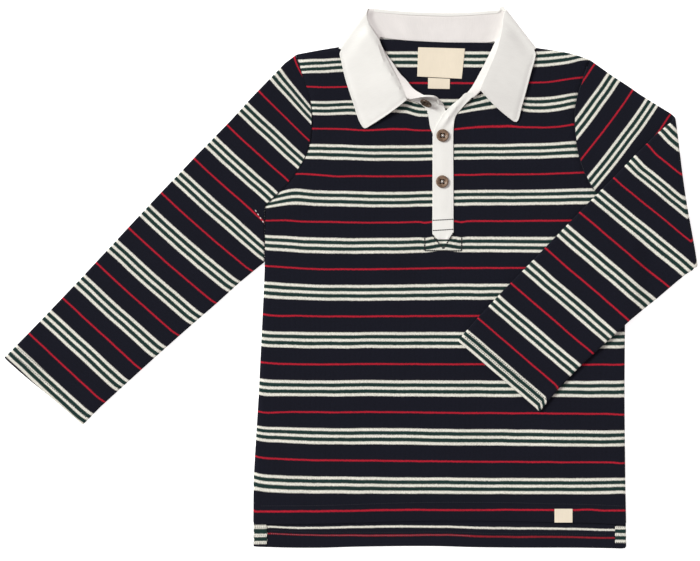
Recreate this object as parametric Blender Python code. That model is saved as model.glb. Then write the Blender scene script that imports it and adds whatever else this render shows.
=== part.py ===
"""A child's long-sleeved rugby shirt, lying flat on its back on a surface.

The surface is Z = 0, +Y points to the collar and +X to the wearer's left sleeve. The origin
is at the middle of the shirt's footprint. The right sleeve lies straight out from the
shoulder. The left sleeve is folded back at the elbow, over the front.

Lengths in this file are in millimetres. They turn into metres when a mesh is made.
"""

import math

import bmesh
import bpy
from mathutils import Vector, geometry

MM = 0.001

# Driving dimensions
JERSEY = 1.2            # wall of the body and the sleeves
TWILL = 1.3             # wall of the collar and the placket
TAPE = 0.5              # wall of the woven labels
GAP = 0.3               # clearance at every seam, and between cloths that lie on each other
SLEEVE_LOFT = 3.2       # both walls of a sleeve and the air between them
ELBOW_INNER = 0.75      # inner radius of the fold at the elbow
FRONT_LOFT = 1.6        # how far the middle of the front rises off the back
COLLAR_LOFT = 2.4       # how far a leaf rises towards the neck
COLLAR_DEPTH = 3.5      # the fall's turn over the top of the stand
LEAF_CLEAR = 0.7        # clearance between a leaf and the front
ROLL_WIDTH = 30.0       # width of that rise along the leaf's inner edge
LOFT_RUN = 70.0         # distance over which the front rises from a side or an end
BODY_SPACING = 24.0     # distance between the mesh points of a body panel
TRIM_SPACING = 13.0     # and of a trim piece

# Heights of the lowest face of each layer, away from the collar
BACK_Z = 0.0
FRONT_Z = BACK_Z + JERSEY + GAP
# Under the collar both panels are lifted by the fall that passes below them, to this far
# beyond the fall's own edge
NECK_LIFT = TWILL + GAP
BACK_REACH = 20.0
FRONT_REACH = 26.0
LIFT_RUN = 26.0         # the lift fades out over this distance
LEAF_Z = FRONT_Z + NECK_LIFT + JERSEY + LEAF_CLEAR
SHOULDER_FOLD = (LEAF_Z + TWILL) / 2      # outer radius of the fall's turn at the shoulder
CREST_FOLD = (NECK_LIFT + TWILL) / 2      # outer radius of its turn over the stand

# Body outline, clockwise from the right shoulder's tip as it lies (x, y)
SHOULDER_RIGHT = ((-13.0, 231.0), (-34.0, 227.5), (-56.2, 223.5))
ARMHOLE_RIGHT = (
    (-56.2, 223.5), (-53.2, 214.0), (-49.5, 202.0), (-43.6, 183.0), (-40.6, 163.5),
    (-41.4, 147.0), (-46.2, 124.0), (-55.6, 107.0), (-69.5, 89.5), (-87.5, 72.5),
)
SIDE_RIGHT = (
    (-87.6, 16.5), (-90.0, -42.5), (-92.0, -82.5), (-94.0, -122.5), (-96.5, -162.5),
    (-98.8, -202.5),
)
FRONT_HEM = ((-99.2, -245.2), (273.8, -245.2))
BACK_HEM = ((-98.8, -268.6), (90.0, -269.1), (274.2, -269.4))
SIDE_LEFT = ((273.0, -202.5), (272.2, -122.5), (272.6, -47.5), (273.0, 17.5))
ARMHOLE_LEFT = (
    (237.3, 218.5), (234.6, 210.0), (231.0, 200.0), (225.4, 182.0), (222.4, 162.0),
    (223.3, 142.0), (227.6, 121.0), (236.5, 99.5), (251.5, 81.5), (272.6, 69.5),
)
SHOULDER_LEFT = ((185.0, 229.5), (208.0, 226.2), (223.3, 223.0), (234.0, 221.0))

# Necklines, from the wearer's right to the left as they lie (x, y)
BACK_NECKLINE = ((-6.0, 232.4), (12.0, 235.6), (26.5, 238.8), (60.0, 236.6), (93.0, 235.1),
                 (142.6, 234.6), (151.0, 235.8), (177.0, 230.6))
FRONT_NECK_RIGHT = ((-6.0, 232.4), (4.0, 230.8), (14.0, 214.0), (28.0, 194.0), (42.0, 183.5),
                    (55.0, 178.6))
FRONT_NECK_LEFT = ((127.2, 185.5), (134.5, 198.0), (148.0, 229.5), (160.0, 234.0),
                   (177.0, 230.6))

# Placket: the slit in the front, and the two strips that close it (x, y)
SLIT_RIGHT_EDGE = ((58.6, 177.4), (67.2, 173.6), (74.2, 168.2), (76.2, 160.4), (77.7, 150.4),
                   (80.2, 144.2), (80.2, 41.6))
SLIT_LEFT_EDGE = ((101.4, 41.6), (101.4, 137.5), (101.9, 153.5), (103.4, 160.3),
                  (107.0, 166.0), (111.5, 171.0))
PLACKET_UNDER = (
    (56.0, 179.0), (59.0, 177.9), (67.5, 174.1), (74.5, 168.5), (76.5, 160.5), (78.0, 150.5),
    (80.5, 144.4), (80.5, 42.0), (101.1, 42.0), (101.1, 137.5), (100.0, 152.0), (94.0, 166.0),
    (87.6, 177.7), (83.0, 181.2), (72.0, 181.9),
)
PLACKET_OVER = (
    (80.3, 43.5), (85.0, 38.2), (98.0, 38.2), (101.3, 44.5), (101.0, 137.5), (101.5, 153.5),
    (103.0, 160.0), (106.5, 165.5), (111.0, 170.5), (126.6, 184.2), (108.6, 178.8),
    (100.0, 169.5), (94.0, 165.2), (83.8, 148.2), (80.6, 141.5),
)

# Collar: the fall's outlines as they lie. Each leaf runs from the shoulder to the crest.
LEAF_LEFT = ((178.0, 232.0), (181.0, 224.0), (171.3, 179.5), (163.6, 155.6), (127.1, 186.5),
             (136.0, 212.0), (146.0, 238.2), (150.0, 252.0), (152.6, 261.6))
LEAF_RIGHT = ((17.6, 264.4), (19.5, 257.0), (27.6, 238.5), (41.0, 209.0), (55.8, 178.8),
              (11.8, 149.8), (-1.0, 188.0), (-9.6, 223.5), (-7.0, 232.0))
FALL_HEM = ((-2.0, 235.2), (5.0, 226.0), (20.0, 219.5), (86.0, 216.5), (150.0, 219.5),
            (167.0, 226.5), (173.4, 235.6))
CREST = ((20.5, 268.8), (53.0, 266.0), (93.0, 264.2), (128.0, 264.9), (149.0, 266.3))
SHOULDER_TURN_RIGHT = ((14.5, 270.8), (-12.0, 229.5))     # silhouette, from crest to shoulder
SHOULDER_TURN_LEFT = ((155.3, 267.6), (183.5, 230.0))
TURN_STEPS = 4

# Collar stand, a row for each section, from the wearer's right placket round to the left.
# The outer edge is the one away from the neck's opening.
STAND_SECTIONS = (
    # outer_x, outer_y, outer_z, inner_x, inner_y, inner_z
    (43.8, 175.8, 4.6, 52.6, 179.4, 4.7),
    (30.0, 196.5, 4.6, 40.2, 201.5, 4.8),
    (17.6, 219.0, 4.6, 28.8, 225.0, 4.8),
    (13.0, 231.5, 4.6, 24.6, 236.0, 4.5),
    (13.0, 241.0, 3.4, 23.4, 240.6, 2.8),
    (12.6, 251.0, 2.2, 26.8, 239.5, 1.6),
    (20.0, 262.6, 1.6, 34.0, 238.9, 1.6),
    (53.0, 261.9, 1.6, 58.0, 237.1, 1.6),
    (93.0, 260.1, 1.6, 93.0, 235.5, 1.6),
    (128.0, 260.8, 1.6, 124.0, 235.2, 1.6),
    (149.0, 262.0, 1.6, 138.0, 235.1, 1.6),
    (155.5, 252.0, 2.4, 143.6, 236.8, 3.3),
    (153.0, 240.0, 3.9, 141.6, 232.2, 4.2),
    (146.6, 224.0, 4.7, 136.0, 221.0, 4.7),
    (137.6, 203.0, 4.7, 126.6, 203.2, 4.7),
    (131.0, 190.0, 4.7, 119.0, 188.6, 4.7),
    (126.2, 185.2, 4.7, 109.0, 180.3, 4.7),
)

# Sleeves, a row for each section beyond the armhole, from the outer edge to the underarm
# edge. The bow is how much of the armhole's curve the section still has.
SLEEVE_RIGHT_SECTIONS = (
    # outer_x, outer_y, under_x, under_y, bow
    (-66.8, 214.3, -88.9, 72.2, 0.85),
    (-82.0, 199.2, -89.4, 70.4, 0.60),
    (-104.0, 175.0, -89.6, 65.5, 0.30),
    (-122.0, 155.0, -89.4, 57.0, 0.12),
    (-140.0, 136.0, -88.9, 44.0, 0.03),
    (-155.0, 120.5, -88.5, 27.0, 0.0),
    (-168.5, 106.5, -98.0, 7.5, 0.0),
    (-183.7, 90.8, -112.9, -6.2, 0.0),
    (-212.1, 61.2, -135.9, -27.2, 0.0),
    (-241.8, 30.2, -166.0, -52.5, 0.0),
    (-272.3, -1.5, -200.0, -82.5, 0.0),
    (-302.8, -33.2, -232.0, -112.5, 0.0),
    (-326.4, -57.8, -251.8, -129.5, 0.0),
    (-347.0, -80.0, -268.6, -146.2, 0.0),
)
UPPER_ARM_SECTIONS = (
    # outer_x, outer_y, under_x, under_y, bow
    (246.0, 211.8, 273.7, 69.0, 0.85),
    (259.0, 202.8, 274.8, 67.6, 0.62),
    (275.0, 192.4, 278.0, 63.5, 0.36),
    (288.0, 184.0, 292.0, 49.5, 0.16),
    (303.0, 174.8, 316.0, 30.0, 0.05),
    (318.3, 165.0, 343.0, 9.4, 0.0),
)
FOREARM_SECTIONS = (
    # outer_x, outer_y, under_x, under_y, bow
    (305.0, 145.5, 341.0, 6.6, 0.0),
    (285.0, 125.5, 335.0, 2.7, 0.0),
    (262.0, 101.7, 324.0, -5.2, 0.0),
    (236.0, 75.5, 305.0, -22.5, 0.0),
    (208.0, 46.5, 280.0, -42.0, 0.0),
    (180.0, 17.5, 254.0, -64.5, 0.0),
    (152.0, -11.0, 228.0, -87.5, 0.0),
    (126.0, -38.5, 206.0, -112.0, 0.0),
    (105.0, -62.8, 188.5, -133.0, 0.0),
)
ELBOW_TURN = ((322.6, 163.0), (347.0, 9.5))               # silhouette of the fold
ELBOW_STEPS = 6
FOREARM_DROP = 4.2      # the forearm sinks this far where neither body nor arm is under it
DROP_START = 4.0        # distance past their edges where that begins
DROP_RUN = 22.0         # and the distance it takes
SLEEVE_EDGE_WALL = 1.5  # wall at the two long edges of a sleeve

# Corners of the labels and of the back's turned-up edges (x, y)
NECK_LABEL = ((64.8, 201.7), (109.2, 199.4), (112.4, 229.5), (65.8, 230.8))
SIZE_LABEL = ((75.6, 189.6), (97.2, 189.2), (97.4, 199.2), (75.7, 200.3))
HEM_LABEL = ((202.2, -244.6), (220.0, -244.6), (220.0, -231.0), (202.2, -231.0))
BACK_TURN_UP = ((-84.6, -268.4), (90.0, -268.9), (262.8, -269.2), (262.8, -248.4),
                (90.0, -247.6), (-84.6, -247.6))
VENT_RIGHT = ((-98.5, -268.3), (-85.0, -268.4), (-85.0, -247.6), (-98.5, -247.6))
VENT_LEFT = ((263.2, -269.2), (273.9, -269.2), (273.6, -248.4), (263.2, -248.4))

BUTTONS = (
    # name, x, y, tilt in degrees about the wearer's left-right axis, turn in degrees
    ("button_top", 74.2, 174.4, 18.0, -18.0),
    ("button_middle", 90.9, 142.2, 0.0, 0.0),
    ("button_lower", 89.8, 95.9, 0.0, 0.0),
)
BUTTON_PROFILE = (
    # radius, height: from the flat back round the rim to the dished face
    (4.8, 0.0), (6.0, 0.5), (6.3, 1.3), (5.7, 2.2), (4.7, 2.3), (3.9, 1.6),
)
BUTTON_SIDES = 24
HOLE_RADIUS = 0.8
DRILL_LENGTH = 6.0
HOLE_REACH = 1.5        # from the button's centre to each of its four holes
BUTTON_CLEAR = 0.9      # how far the tilted button's middle stands off the under strip
PLACKET_CURL = 3.4      # how far the top of the under strip curls up
CURL_START = (166.0, 15.0)      # y where the curl begins, and the distance it takes
CURL_EDGE = (0.9, 226.0, 12.0)  # slope, offset and run of its slanted lower limit

COLOURS = {
    # name: (red, green, blue, roughness)
    "navy": (0.012, 0.013, 0.022, 0.9),
    "white": (0.85, 0.83, 0.79, 0.85),
    "cream": (0.83, 0.72, 0.55, 0.8),
    "brown": (0.16, 0.09, 0.05, 0.35),
}


# Small geometry

def smooth(value):
    """0 below 0, 1 above 1, and an even slope between them."""
    value = min(max(value, 0.0), 1.0)
    return value * value * (3.0 - 2.0 * value)


def mix(a, b, share):
    return tuple(p + (q - p) * share for p, q in zip(a, b))


def divided(points, spacing):
    """The line through the points, with no step longer than the spacing."""
    line = [points[0]]
    for start, end in zip(points, points[1:]):
        steps = max(1, math.ceil(math.dist(start, end) / spacing))
        line += [mix(start, end, step / steps) for step in range(1, steps + 1)]
    return line


def moved_out(points, distance):
    """The open line through the points, moved to its left by the distance."""
    moved = []
    for index, (x, y) in enumerate(points):
        before = points[max(index - 1, 0)]
        after = points[min(index + 1, len(points) - 1)]
        run = math.dist(before, after)
        moved.append((x - distance * (after[1] - before[1]) / run,
                      y + distance * (after[0] - before[0]) / run))
    return moved


def inside(point, outline):
    """Whether the point is inside the closed outline."""
    x, y = point
    within = False
    for (ax, ay), (bx, by) in zip(outline, outline[1:] + outline[:1]):
        if (ay > y) != (by > y) and x < ax + (y - ay) * (bx - ax) / (by - ay):
            within = not within
    return within


def distance_to(point, outline):
    """Distance from the point to the nearest stretch of the closed outline."""
    nearest = math.inf
    for a, b in zip(outline, outline[1:] + outline[:1]):
        run = math.dist(a, b) ** 2
        share = ((point[0] - a[0]) * (b[0] - a[0]) + (point[1] - a[1]) * (b[1] - a[1])) / run
        nearest = min(nearest, math.dist(point, mix(a, b, min(max(share, 0.0), 1.0))))
    return nearest


def area(outline):
    return 0.5 * sum(a[0] * b[1] - b[0] * a[1]
                     for a, b in zip(outline, outline[1:] + outline[:1]))


class Fold:
    """A turn of flat cloth about a straight line, from below to above.

    The line is the silhouette of the turn. Going along it, the open side is on the right
    where outside is 1 and on the left where it is -1. Layers is the thickness of the cloth
    that turns, and the radius is that of its outer face.
    """

    def __init__(self, silhouette, radius, layers, outside):
        start, end = (Vector(p) for p in silhouette)
        self.along = (end - start).normalized()
        self.out = Vector((self.along.y, -self.along.x)) * outside
        self.axis = start - self.out * radius
        self.radius = radius
        self.turn = math.pi * (radius - layers / 2)

    def beyond(self, x, y):
        return (Vector((x, y)) - self.axis).dot(self.out)

    def flat(self, x, y):
        """Where a point of the upper layer was before the cloth was folded."""
        back = -self.beyond(x, y)
        point = Vector((x, y)) + self.out * (2 * back + self.turn)
        return tuple(point)

    def creases(self, first, last, steps):
        """Lines along the flat cloth, where the turn starts, passes and ends."""
        lines = []
        for step in range(steps + 1):
            start = self.axis + self.out * self.turn * step / steps
            lines.append((tuple(start + self.along * first), tuple(start + self.along * last)))
        return lines

    def place(self, x, y, height):
        """The folded place of a point of the flat cloth. None if it isn't in the fold."""
        over = self.beyond(x, y)
        if over <= 0.0:
            return None
        foot = Vector((x, y)) - self.out * over
        reach = self.radius - height
        if over < self.turn:
            angle = math.pi * over / self.turn
            foot += self.out * reach * math.sin(angle)
            return foot.x, foot.y, self.radius - reach * math.cos(angle)
        foot -= self.out * (over - self.turn)
        return foot.x, foot.y, self.radius + reach


# Solids

def material(name):
    found = bpy.data.materials.get(name)
    if found:
        return found
    red, green, blue, roughness = COLOURS[name]
    made = bpy.data.materials.new(name)
    made.use_nodes = True
    shader = made.node_tree.nodes["Principled BSDF"]
    shader.inputs["Base Color"].default_value = (red, green, blue, 1.0)
    shader.inputs["Roughness"].default_value = roughness
    shader.inputs["Metallic"].default_value = 0.0
    made.diffuse_color = (red, green, blue, 1.0)
    return made


def add_object(name, points, faces, colour):
    """One closed solid, with its faces pointing out."""
    mesh = bpy.data.meshes.new(name)
    mesh.from_pydata([Vector(p) * MM for p in points], [], faces)
    work = bmesh.new()
    work.from_mesh(mesh)
    bmesh.ops.triangulate(work, faces=work.faces, quad_method="SHORT_EDGE")
    bmesh.ops.recalc_face_normals(work, faces=work.faces)
    work.to_mesh(mesh)
    work.free()
    mesh.shade_smooth()
    mesh.set_sharp_from_angle(angle=math.radians(35))
    mesh.materials.append(material(colour))
    made = bpy.data.objects.new(name, mesh)
    bpy.context.collection.objects.link(made)
    return made


def cloth(name, outline, spacing, wall, place, colour, creases=()):
    """A wall of cloth cut to the outline. The place function lays its points down.

    Creases are lines that the mesh follows, where the cloth turns.
    """
    outline = divided(list(outline) + [outline[0]], spacing)[:-1]
    if area(outline) < 0:
        outline.reverse()
    xs, ys = zip(*outline)
    points = list(outline)
    count = len(outline)
    edges = [(i, (i + 1) % count) for i in range(count)]
    bent = []
    for crease in creases:
        line = divided(list(crease), spacing)
        edges += [(len(points) + i, len(points) + i + 1) for i in range(len(line) - 1)]
        points += line
        bent += line
    rows = max(1, round((max(ys) - min(ys)) / spacing))
    columns = max(1, round((max(xs) - min(xs)) / spacing))
    for row in range(1, rows):
        for column in range(columns + 1):
            share = (column + 0.5 * (row % 2)) / columns
            point = (min(xs) + share * (max(xs) - min(xs)),
                     min(ys) + row / rows * (max(ys) - min(ys)))
            clear = all(math.dist(point, p) > 0.6 * spacing for p in bent)
            if clear and inside(point, outline) and distance_to(point, outline) > 0.45 * spacing:
                points.append(point)
    flat, _, triangles, *_ = geometry.delaunay_2d_cdt(
        [Vector(p) for p in points], edges, [], 1, 1e-4)
    used = sorted({index for face in triangles for index in face})
    flat = [flat[index] for index in used]
    triangles = [[used.index(index) for index in face] for face in triangles]
    total = len(flat)
    lower = [place(p.x, p.y, 0.0) for p in flat]
    upper = [place(p.x, p.y, wall) for p in flat]
    faces = [tuple(i + total for i in face) for face in triangles]
    faces += [tuple(reversed(face)) for face in triangles]
    sides = {(f[i], f[(i + 1) % 3]) for f in triangles for i in range(3)}
    faces += [(a, b, b + total, a + total) for a, b in sorted(sides) if (b, a) not in sides]
    return add_object(name, lower + upper, faces, colour)


def strip(name, sections, columns, wall, colour):
    """A wall of cloth through sections, each with a point at either edge."""
    width = columns + 1
    lower = [mix(section[:3], section[3:], column / columns)
             for section in sections for column in range(width)]
    total = len(lower)
    upper = [(x, y, z + wall) for x, y, z in lower]
    faces = []
    for row in range(len(sections) - 1):
        for column in range(columns):
            a = row * width + column
            b, c, d = a + 1, a + width + 1, a + width
            faces += [(a, b, c, d), (a + total, d + total, c + total, b + total)]
    rim = list(range(width))
    rim += [row * width + columns for row in range(1, len(sections))]
    rim += [total - 1 - column for column in range(1, width)]
    rim += [row * width for row in range(len(sections) - 2, 0, -1)]
    faces += [(a, a + total, b + total, b) for a, b in zip(rim, rim[1:] + rim[:1])]
    return add_object(name, lower + upper, faces, colour)


def ring(line, wall):
    """Points round a flattened tube: along its lower side and back along its upper one."""
    return ([(*p, wall) for p in line]
            + [(*p, SLEEVE_LOFT - wall) for p in reversed(line)])


def inset_ends(sections, wall):
    """The sections, with both ends moved in from the sleeve's long edges."""
    outer_edge = [section[0] for section in sections]
    under_edge = [section[-1] for section in sections]
    run = Vector(outer_edge[-1]) - Vector(outer_edge[-2])
    across = Vector(under_edge[-1]) - Vector(outer_edge[-1])
    side = math.copysign(1.0, run.cross(across))
    firsts = moved_out(outer_edge, side * wall)
    lasts = moved_out(under_edge, -side * wall)
    # At the armhole the ends move along the seam, so that they stay off the body
    seam = sections[0]
    firsts[0] = mix(seam[0], seam[1], wall / math.dist(seam[0], seam[1]))
    lasts[0] = mix(seam[-1], seam[-2], wall / math.dist(seam[-1], seam[-2]))
    return [[first] + list(section[1:-1]) + [last]
            for first, section, last in zip(firsts, sections, lasts)]


def tube(name, sections, place, colour):
    """A flattened tube of cloth, open at both ends, through its sections."""
    outer = [ring(section, 0.0) for section in sections]
    inner = [ring(section, JERSEY) for section in inset_ends(sections, SLEEVE_EDGE_WALL)]
    size = len(outer[0])
    points = [place(*p) for rings in (outer, inner) for one in rings for p in one]
    inner_start = size * len(sections)
    faces = []
    for step in range(size):
        after = (step + 1) % size
        for row in range(len(sections) - 1):
            a, b = row * size + step, row * size + after
            faces.append((a, b, b + size, a + size))
            faces.append(tuple(inner_start + i for i in (a, a + size, b + size, b)))
        for row in (0, len(sections) - 1):
            a, b = row * size + step, row * size + after
            faces.append((a, inner_start + a, inner_start + b, b))
    return add_object(name, points, faces, colour)


# Where the layers lie

def neck_lift(x, y, reach=BACK_REACH):
    """How far the panels are lifted by the fall under them, and for how far round it."""
    beside = max(SHOULDER_TURN_RIGHT[1][0] - x, x - SHOULDER_TURN_LEFT[1][0], 0.0)
    below = max(FALL_HEM[3][1] - y, 0.0)
    return NECK_LIFT * (1.0 - smooth((math.hypot(beside, below) - reach) / LIFT_RUN))


def front_loft(x, y):
    """How far the front rises off the back in the middle of the body."""
    right, left = SIDE_RIGHT[1][0], SIDE_LEFT[1][0]
    hem, chest = FRONT_HEM[0][1], SLIT_RIGHT_EDGE[4][1]
    sides = smooth((x - right) / LOFT_RUN) * smooth((left - x) / LOFT_RUN)
    ends = smooth((y - hem) / LOFT_RUN) * smooth((chest - y) / LOFT_RUN)
    waves = 0.85 + 0.15 * math.cos(x / 31.0 + y / 90.0)
    return FRONT_LOFT * sides * ends * waves


def lay_back(x, y, height):
    return x, y, BACK_Z + neck_lift(x, y) + height


def lay_front(x, y, height):
    return x, y, FRONT_Z + neck_lift(x, y, FRONT_REACH) + front_loft(x, y) + height


def lay_on_back(x, y, height):
    return lay_back(x, y, JERSEY + GAP + height)


def lay_on_front(x, y, height):
    return lay_front(x, y, JERSEY + GAP + height)


def lay_placket_under(x, y, height):
    """Level with the front, with a top end that curls up towards the neck."""
    start, run = CURL_START
    slope, offset, edge_run = CURL_EDGE
    curl = smooth((y - start) / run) * smooth((y + slope * x - offset) / edge_run)
    return lay_front(x, y, height + PLACKET_CURL * curl)


def lay_placket_over(x, y, height):
    return lay_front(x, y, TWILL + GAP + height)


# Pieces

def body():
    back = list(SHOULDER_RIGHT) + list(ARMHOLE_RIGHT[1:]) + list(SIDE_RIGHT)
    back += list(BACK_HEM) + list(SIDE_LEFT) + list(reversed(ARMHOLE_LEFT))
    back += list(reversed(SHOULDER_LEFT)) + list(reversed(BACK_NECKLINE))
    cloth("back_body", back, BODY_SPACING, JERSEY, lay_back, "navy")
    front = list(SHOULDER_RIGHT) + list(ARMHOLE_RIGHT[1:]) + list(SIDE_RIGHT)
    front += list(FRONT_HEM) + list(SIDE_LEFT) + list(reversed(ARMHOLE_LEFT))
    front += list(reversed(SHOULDER_LEFT)) + list(reversed(FRONT_NECK_LEFT))
    front += list(reversed(SLIT_LEFT_EDGE)) + list(reversed(SLIT_RIGHT_EDGE))
    front += list(reversed(FRONT_NECK_RIGHT))
    cloth("front_body", front, BODY_SPACING, JERSEY, lay_front, "navy")


def sleeve_sections(armhole, rows, outward):
    """The armhole's own curve, moved off the seam, and then each section of the table."""
    chord = (armhole[0], armhole[-1])
    length = sum(math.dist(a, b) for a, b in zip(armhole, armhole[1:]))
    shares = [0.0]
    for a, b in zip(armhole, armhole[1:]):
        shares.append(shares[-1] + math.dist(a, b) / length)
    bows = [tuple(p - q for p, q in zip(point, mix(*chord, share)))
            for point, share in zip(armhole, shares)]
    sections = [moved_out(armhole, outward * 1.2 * GAP)]
    for outer_x, outer_y, under_x, under_y, bow in rows:
        sections.append([
            tuple(p + bow ** (1.0 + 3.0 * share) * q for p, q in
                  zip(mix((outer_x, outer_y), (under_x, under_y), share), offset))
            for share, offset in zip(shares, bows)])
    return sections


def sleeves():
    sections = sleeve_sections(ARMHOLE_RIGHT, SLEEVE_RIGHT_SECTIONS, -1)
    tube("sleeve_right", sections, lambda x, y, height: (x, y, height), "navy")

    elbow = Fold(ELBOW_TURN, SLEEVE_LOFT + ELBOW_INNER, SLEEVE_LOFT, -1)
    sections = sleeve_sections(ARMHOLE_LEFT, UPPER_ARM_SECTIONS, 1)
    for step in range(1, ELBOW_STEPS + 1):
        shift = elbow.out * elbow.turn * step / ELBOW_STEPS
        sections.append([(x + shift.x, y + shift.y) for x, y in sections[len(UPPER_ARM_SECTIONS)]])
    for section in sleeve_sections(ARMHOLE_LEFT, FOREARM_SECTIONS, 1)[1:]:
        sections.append([elbow.flat(x, y) for x, y in section])
    under_edge = Fold((UPPER_ARM_SECTIONS[1][2:4], UPPER_ARM_SECTIONS[-1][2:4]), 0.0, 0.0, 1)

    def lay_sleeve(x, y, height):
        folded = elbow.place(x, y, height)
        if folded is None:
            return x, y, height
        x, y, height = folded
        past_body = smooth((x - SIDE_LEFT[0][0] - DROP_START) / DROP_RUN)
        past_arm = smooth((under_edge.beyond(x, y) - DROP_START) / DROP_RUN)
        return x, y, height - FOREARM_DROP * past_body * past_arm

    tube("sleeve_left", sections, lay_sleeve, "navy")


def collar():
    strip("collar_stand", STAND_SECTIONS, 3, TWILL, "white")
    right = Fold(SHOULDER_TURN_RIGHT, SHOULDER_FOLD, TWILL, 1)
    left = Fold(SHOULDER_TURN_LEFT, SHOULDER_FOLD, TWILL, -1)

    def crest_axis(x):
        for (ax, ay), (bx, by) in zip(CREST, CREST[1:]):
            if x <= bx or (bx, by) == CREST[-1]:
                return ay + (by - ay) * (x - ax) / (bx - ax) - CREST_FOLD

    crest_turn = math.pi * (CREST_FOLD - TWILL / 2)
    crest_width = crest_turn + COLLAR_DEPTH - CREST_FOLD
    outline = list(FALL_HEM)
    outline += [left.flat(*p) for p in LEAF_LEFT]
    outline.append((CREST[-1][0], crest_axis(CREST[-1][0])))
    outline += [(x, crest_axis(x) + crest_width) for x, _ in reversed(CREST)]
    outline.append((CREST[0][0], crest_axis(CREST[0][0])))
    outline += [right.flat(*p) for p in LEAF_RIGHT]

    def roll_lift(x, y, roll):
        """A leaf rises towards its inner edge, more so further down from the crest."""
        near = smooth((ROLL_WIDTH - abs(roll.beyond(x, y))) / (0.6 * ROLL_WIDTH))
        return COLLAR_LOFT * near * smooth((CREST[2][1] - y) / (0.8 * ROLL_WIDTH))

    rolls = (Fold((LEAF_RIGHT[1], LEAF_RIGHT[4]), 0.0, 0.0, 1),
             Fold((LEAF_LEFT[6], LEAF_LEFT[4]), 0.0, 0.0, 1))

    def lay_fall(x, y, height):
        for turn, roll in zip((right, left), rolls):
            folded = turn.place(x, y, height)
            if folded is not None:
                fx, fy, fz = folded
                if turn.beyond(x, y) < turn.turn:
                    return folded
                sink = NECK_LIFT - neck_lift(fx, fy, FRONT_REACH)
                return fx, fy, fz + roll_lift(fx, fy, roll) - sink
        over = y - crest_axis(x)
        if over <= 0.0:
            return x, y, height
        reach = CREST_FOLD - height
        if over < crest_turn:
            angle = math.pi * over / crest_turn
            return (x, crest_axis(x) + reach * math.sin(angle),
                    CREST_FOLD - reach * math.cos(angle))
        return x, crest_axis(x) - (over - crest_turn), CREST_FOLD + reach

    creases = []
    for turn, silhouette in ((right, SHOULDER_TURN_RIGHT), (left, SHOULDER_TURN_LEFT)):
        creases += turn.creases(-5.0, math.dist(*silhouette) + 5.0, TURN_STEPS)
    for step in range(TURN_STEPS + 1):
        creases.append([(x, crest_axis(x) + crest_turn * step / TURN_STEPS) for x, _ in CREST])
    cloth("collar_fall", outline, TRIM_SPACING, TWILL, lay_fall, "white", creases)


def placket():
    cloth("placket_under", PLACKET_UNDER, TRIM_SPACING, TWILL, lay_placket_under, "white")
    cloth("placket_over", PLACKET_OVER, TRIM_SPACING, TWILL, lay_placket_over, "white")


def trim():
    cloth("neck_label", NECK_LABEL, BODY_SPACING, TAPE, lay_on_back, "cream")
    cloth("size_label", SIZE_LABEL, BODY_SPACING, TAPE, lay_on_back, "cream")
    cloth("hem_label", HEM_LABEL, BODY_SPACING, TAPE, lay_on_front, "cream")
    cloth("back_hem", BACK_TURN_UP, BODY_SPACING, JERSEY, lay_on_back, "navy")
    cloth("vent_facing_right", VENT_RIGHT, BODY_SPACING, JERSEY, lay_on_back, "navy")
    cloth("vent_facing_left", VENT_LEFT, BODY_SPACING, JERSEY, lay_on_back, "navy")


def button(name, x, y, tilt, turn):
    """A turned disc with four holes, drilled by a cutter that follows it."""
    points = []
    faces = []
    for radius, height in BUTTON_PROFILE:
        for side in range(BUTTON_SIDES):
            angle = 2 * math.pi * side / BUTTON_SIDES
            points.append((radius * math.cos(angle), radius * math.sin(angle), height))
    rings = len(BUTTON_PROFILE)
    for side in range(BUTTON_SIDES):
        after = (side + 1) % BUTTON_SIDES
        for row in range(rings - 1):
            a, b = row * BUTTON_SIDES + side, row * BUTTON_SIDES + after
            faces.append((a, b, b + BUTTON_SIDES, a + BUTTON_SIDES))
    faces.append(tuple(reversed(range(BUTTON_SIDES))))
    faces.append(tuple((rings - 1) * BUTTON_SIDES + side for side in range(BUTTON_SIDES)))
    disc = add_object(name, points, faces, "brown")
    work = bmesh.new()
    for hole in range(4):
        angle = math.radians(45 + 90 * hole)
        made = bmesh.ops.create_cone(work, cap_ends=True, segments=8, depth=DRILL_LENGTH * MM,
                                     radius1=HOLE_RADIUS * MM, radius2=HOLE_RADIUS * MM)
        bmesh.ops.translate(work, verts=made["verts"], vec=Vector(
            (HOLE_REACH * math.cos(angle), HOLE_REACH * math.sin(angle), 1.0)) * MM)
    drill_mesh = bpy.data.meshes.new(name + "_drill")
    work.to_mesh(drill_mesh)
    work.free()
    drill = bpy.data.objects.new(name + "_drill", drill_mesh)
    bpy.context.collection.objects.link(drill)
    drill.hide_render = True
    drill.display_type = "WIRE"
    drill.parent = disc
    cut = disc.modifiers.new("holes", "BOOLEAN")
    cut.operation = "DIFFERENCE"
    cut.object = drill
    tilt = math.radians(tilt)
    if tilt:
        rest = lay_placket_under(x, y, TWILL + GAP)[2] + BUTTON_CLEAR
    else:
        rest = lay_placket_over(x, y, TWILL + GAP)[2]
    disc.rotation_euler = (tilt, 0.0, math.radians(turn))
    disc.location = Vector((x, y, rest)) * MM


for old in list(bpy.data.objects):
    bpy.data.objects.remove(old)
body()
sleeves()
collar()
placket()
trim()
for row in BUTTONS:
    button(*row)
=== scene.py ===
"""The looks of a child's striped rugby shirt that lies flat on its back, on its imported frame.

+X points to the wearer's left sleeve, +Y to the collar, and the shirt lies on Z = 0. Lengths
are in millimetres up to the point where a mesh is made, and heights start at the floor.
"""

import math

import bmesh
import bpy
import numpy as np
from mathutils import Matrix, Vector, geometry
from mathutils.bvhtree import BVHTree


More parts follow.
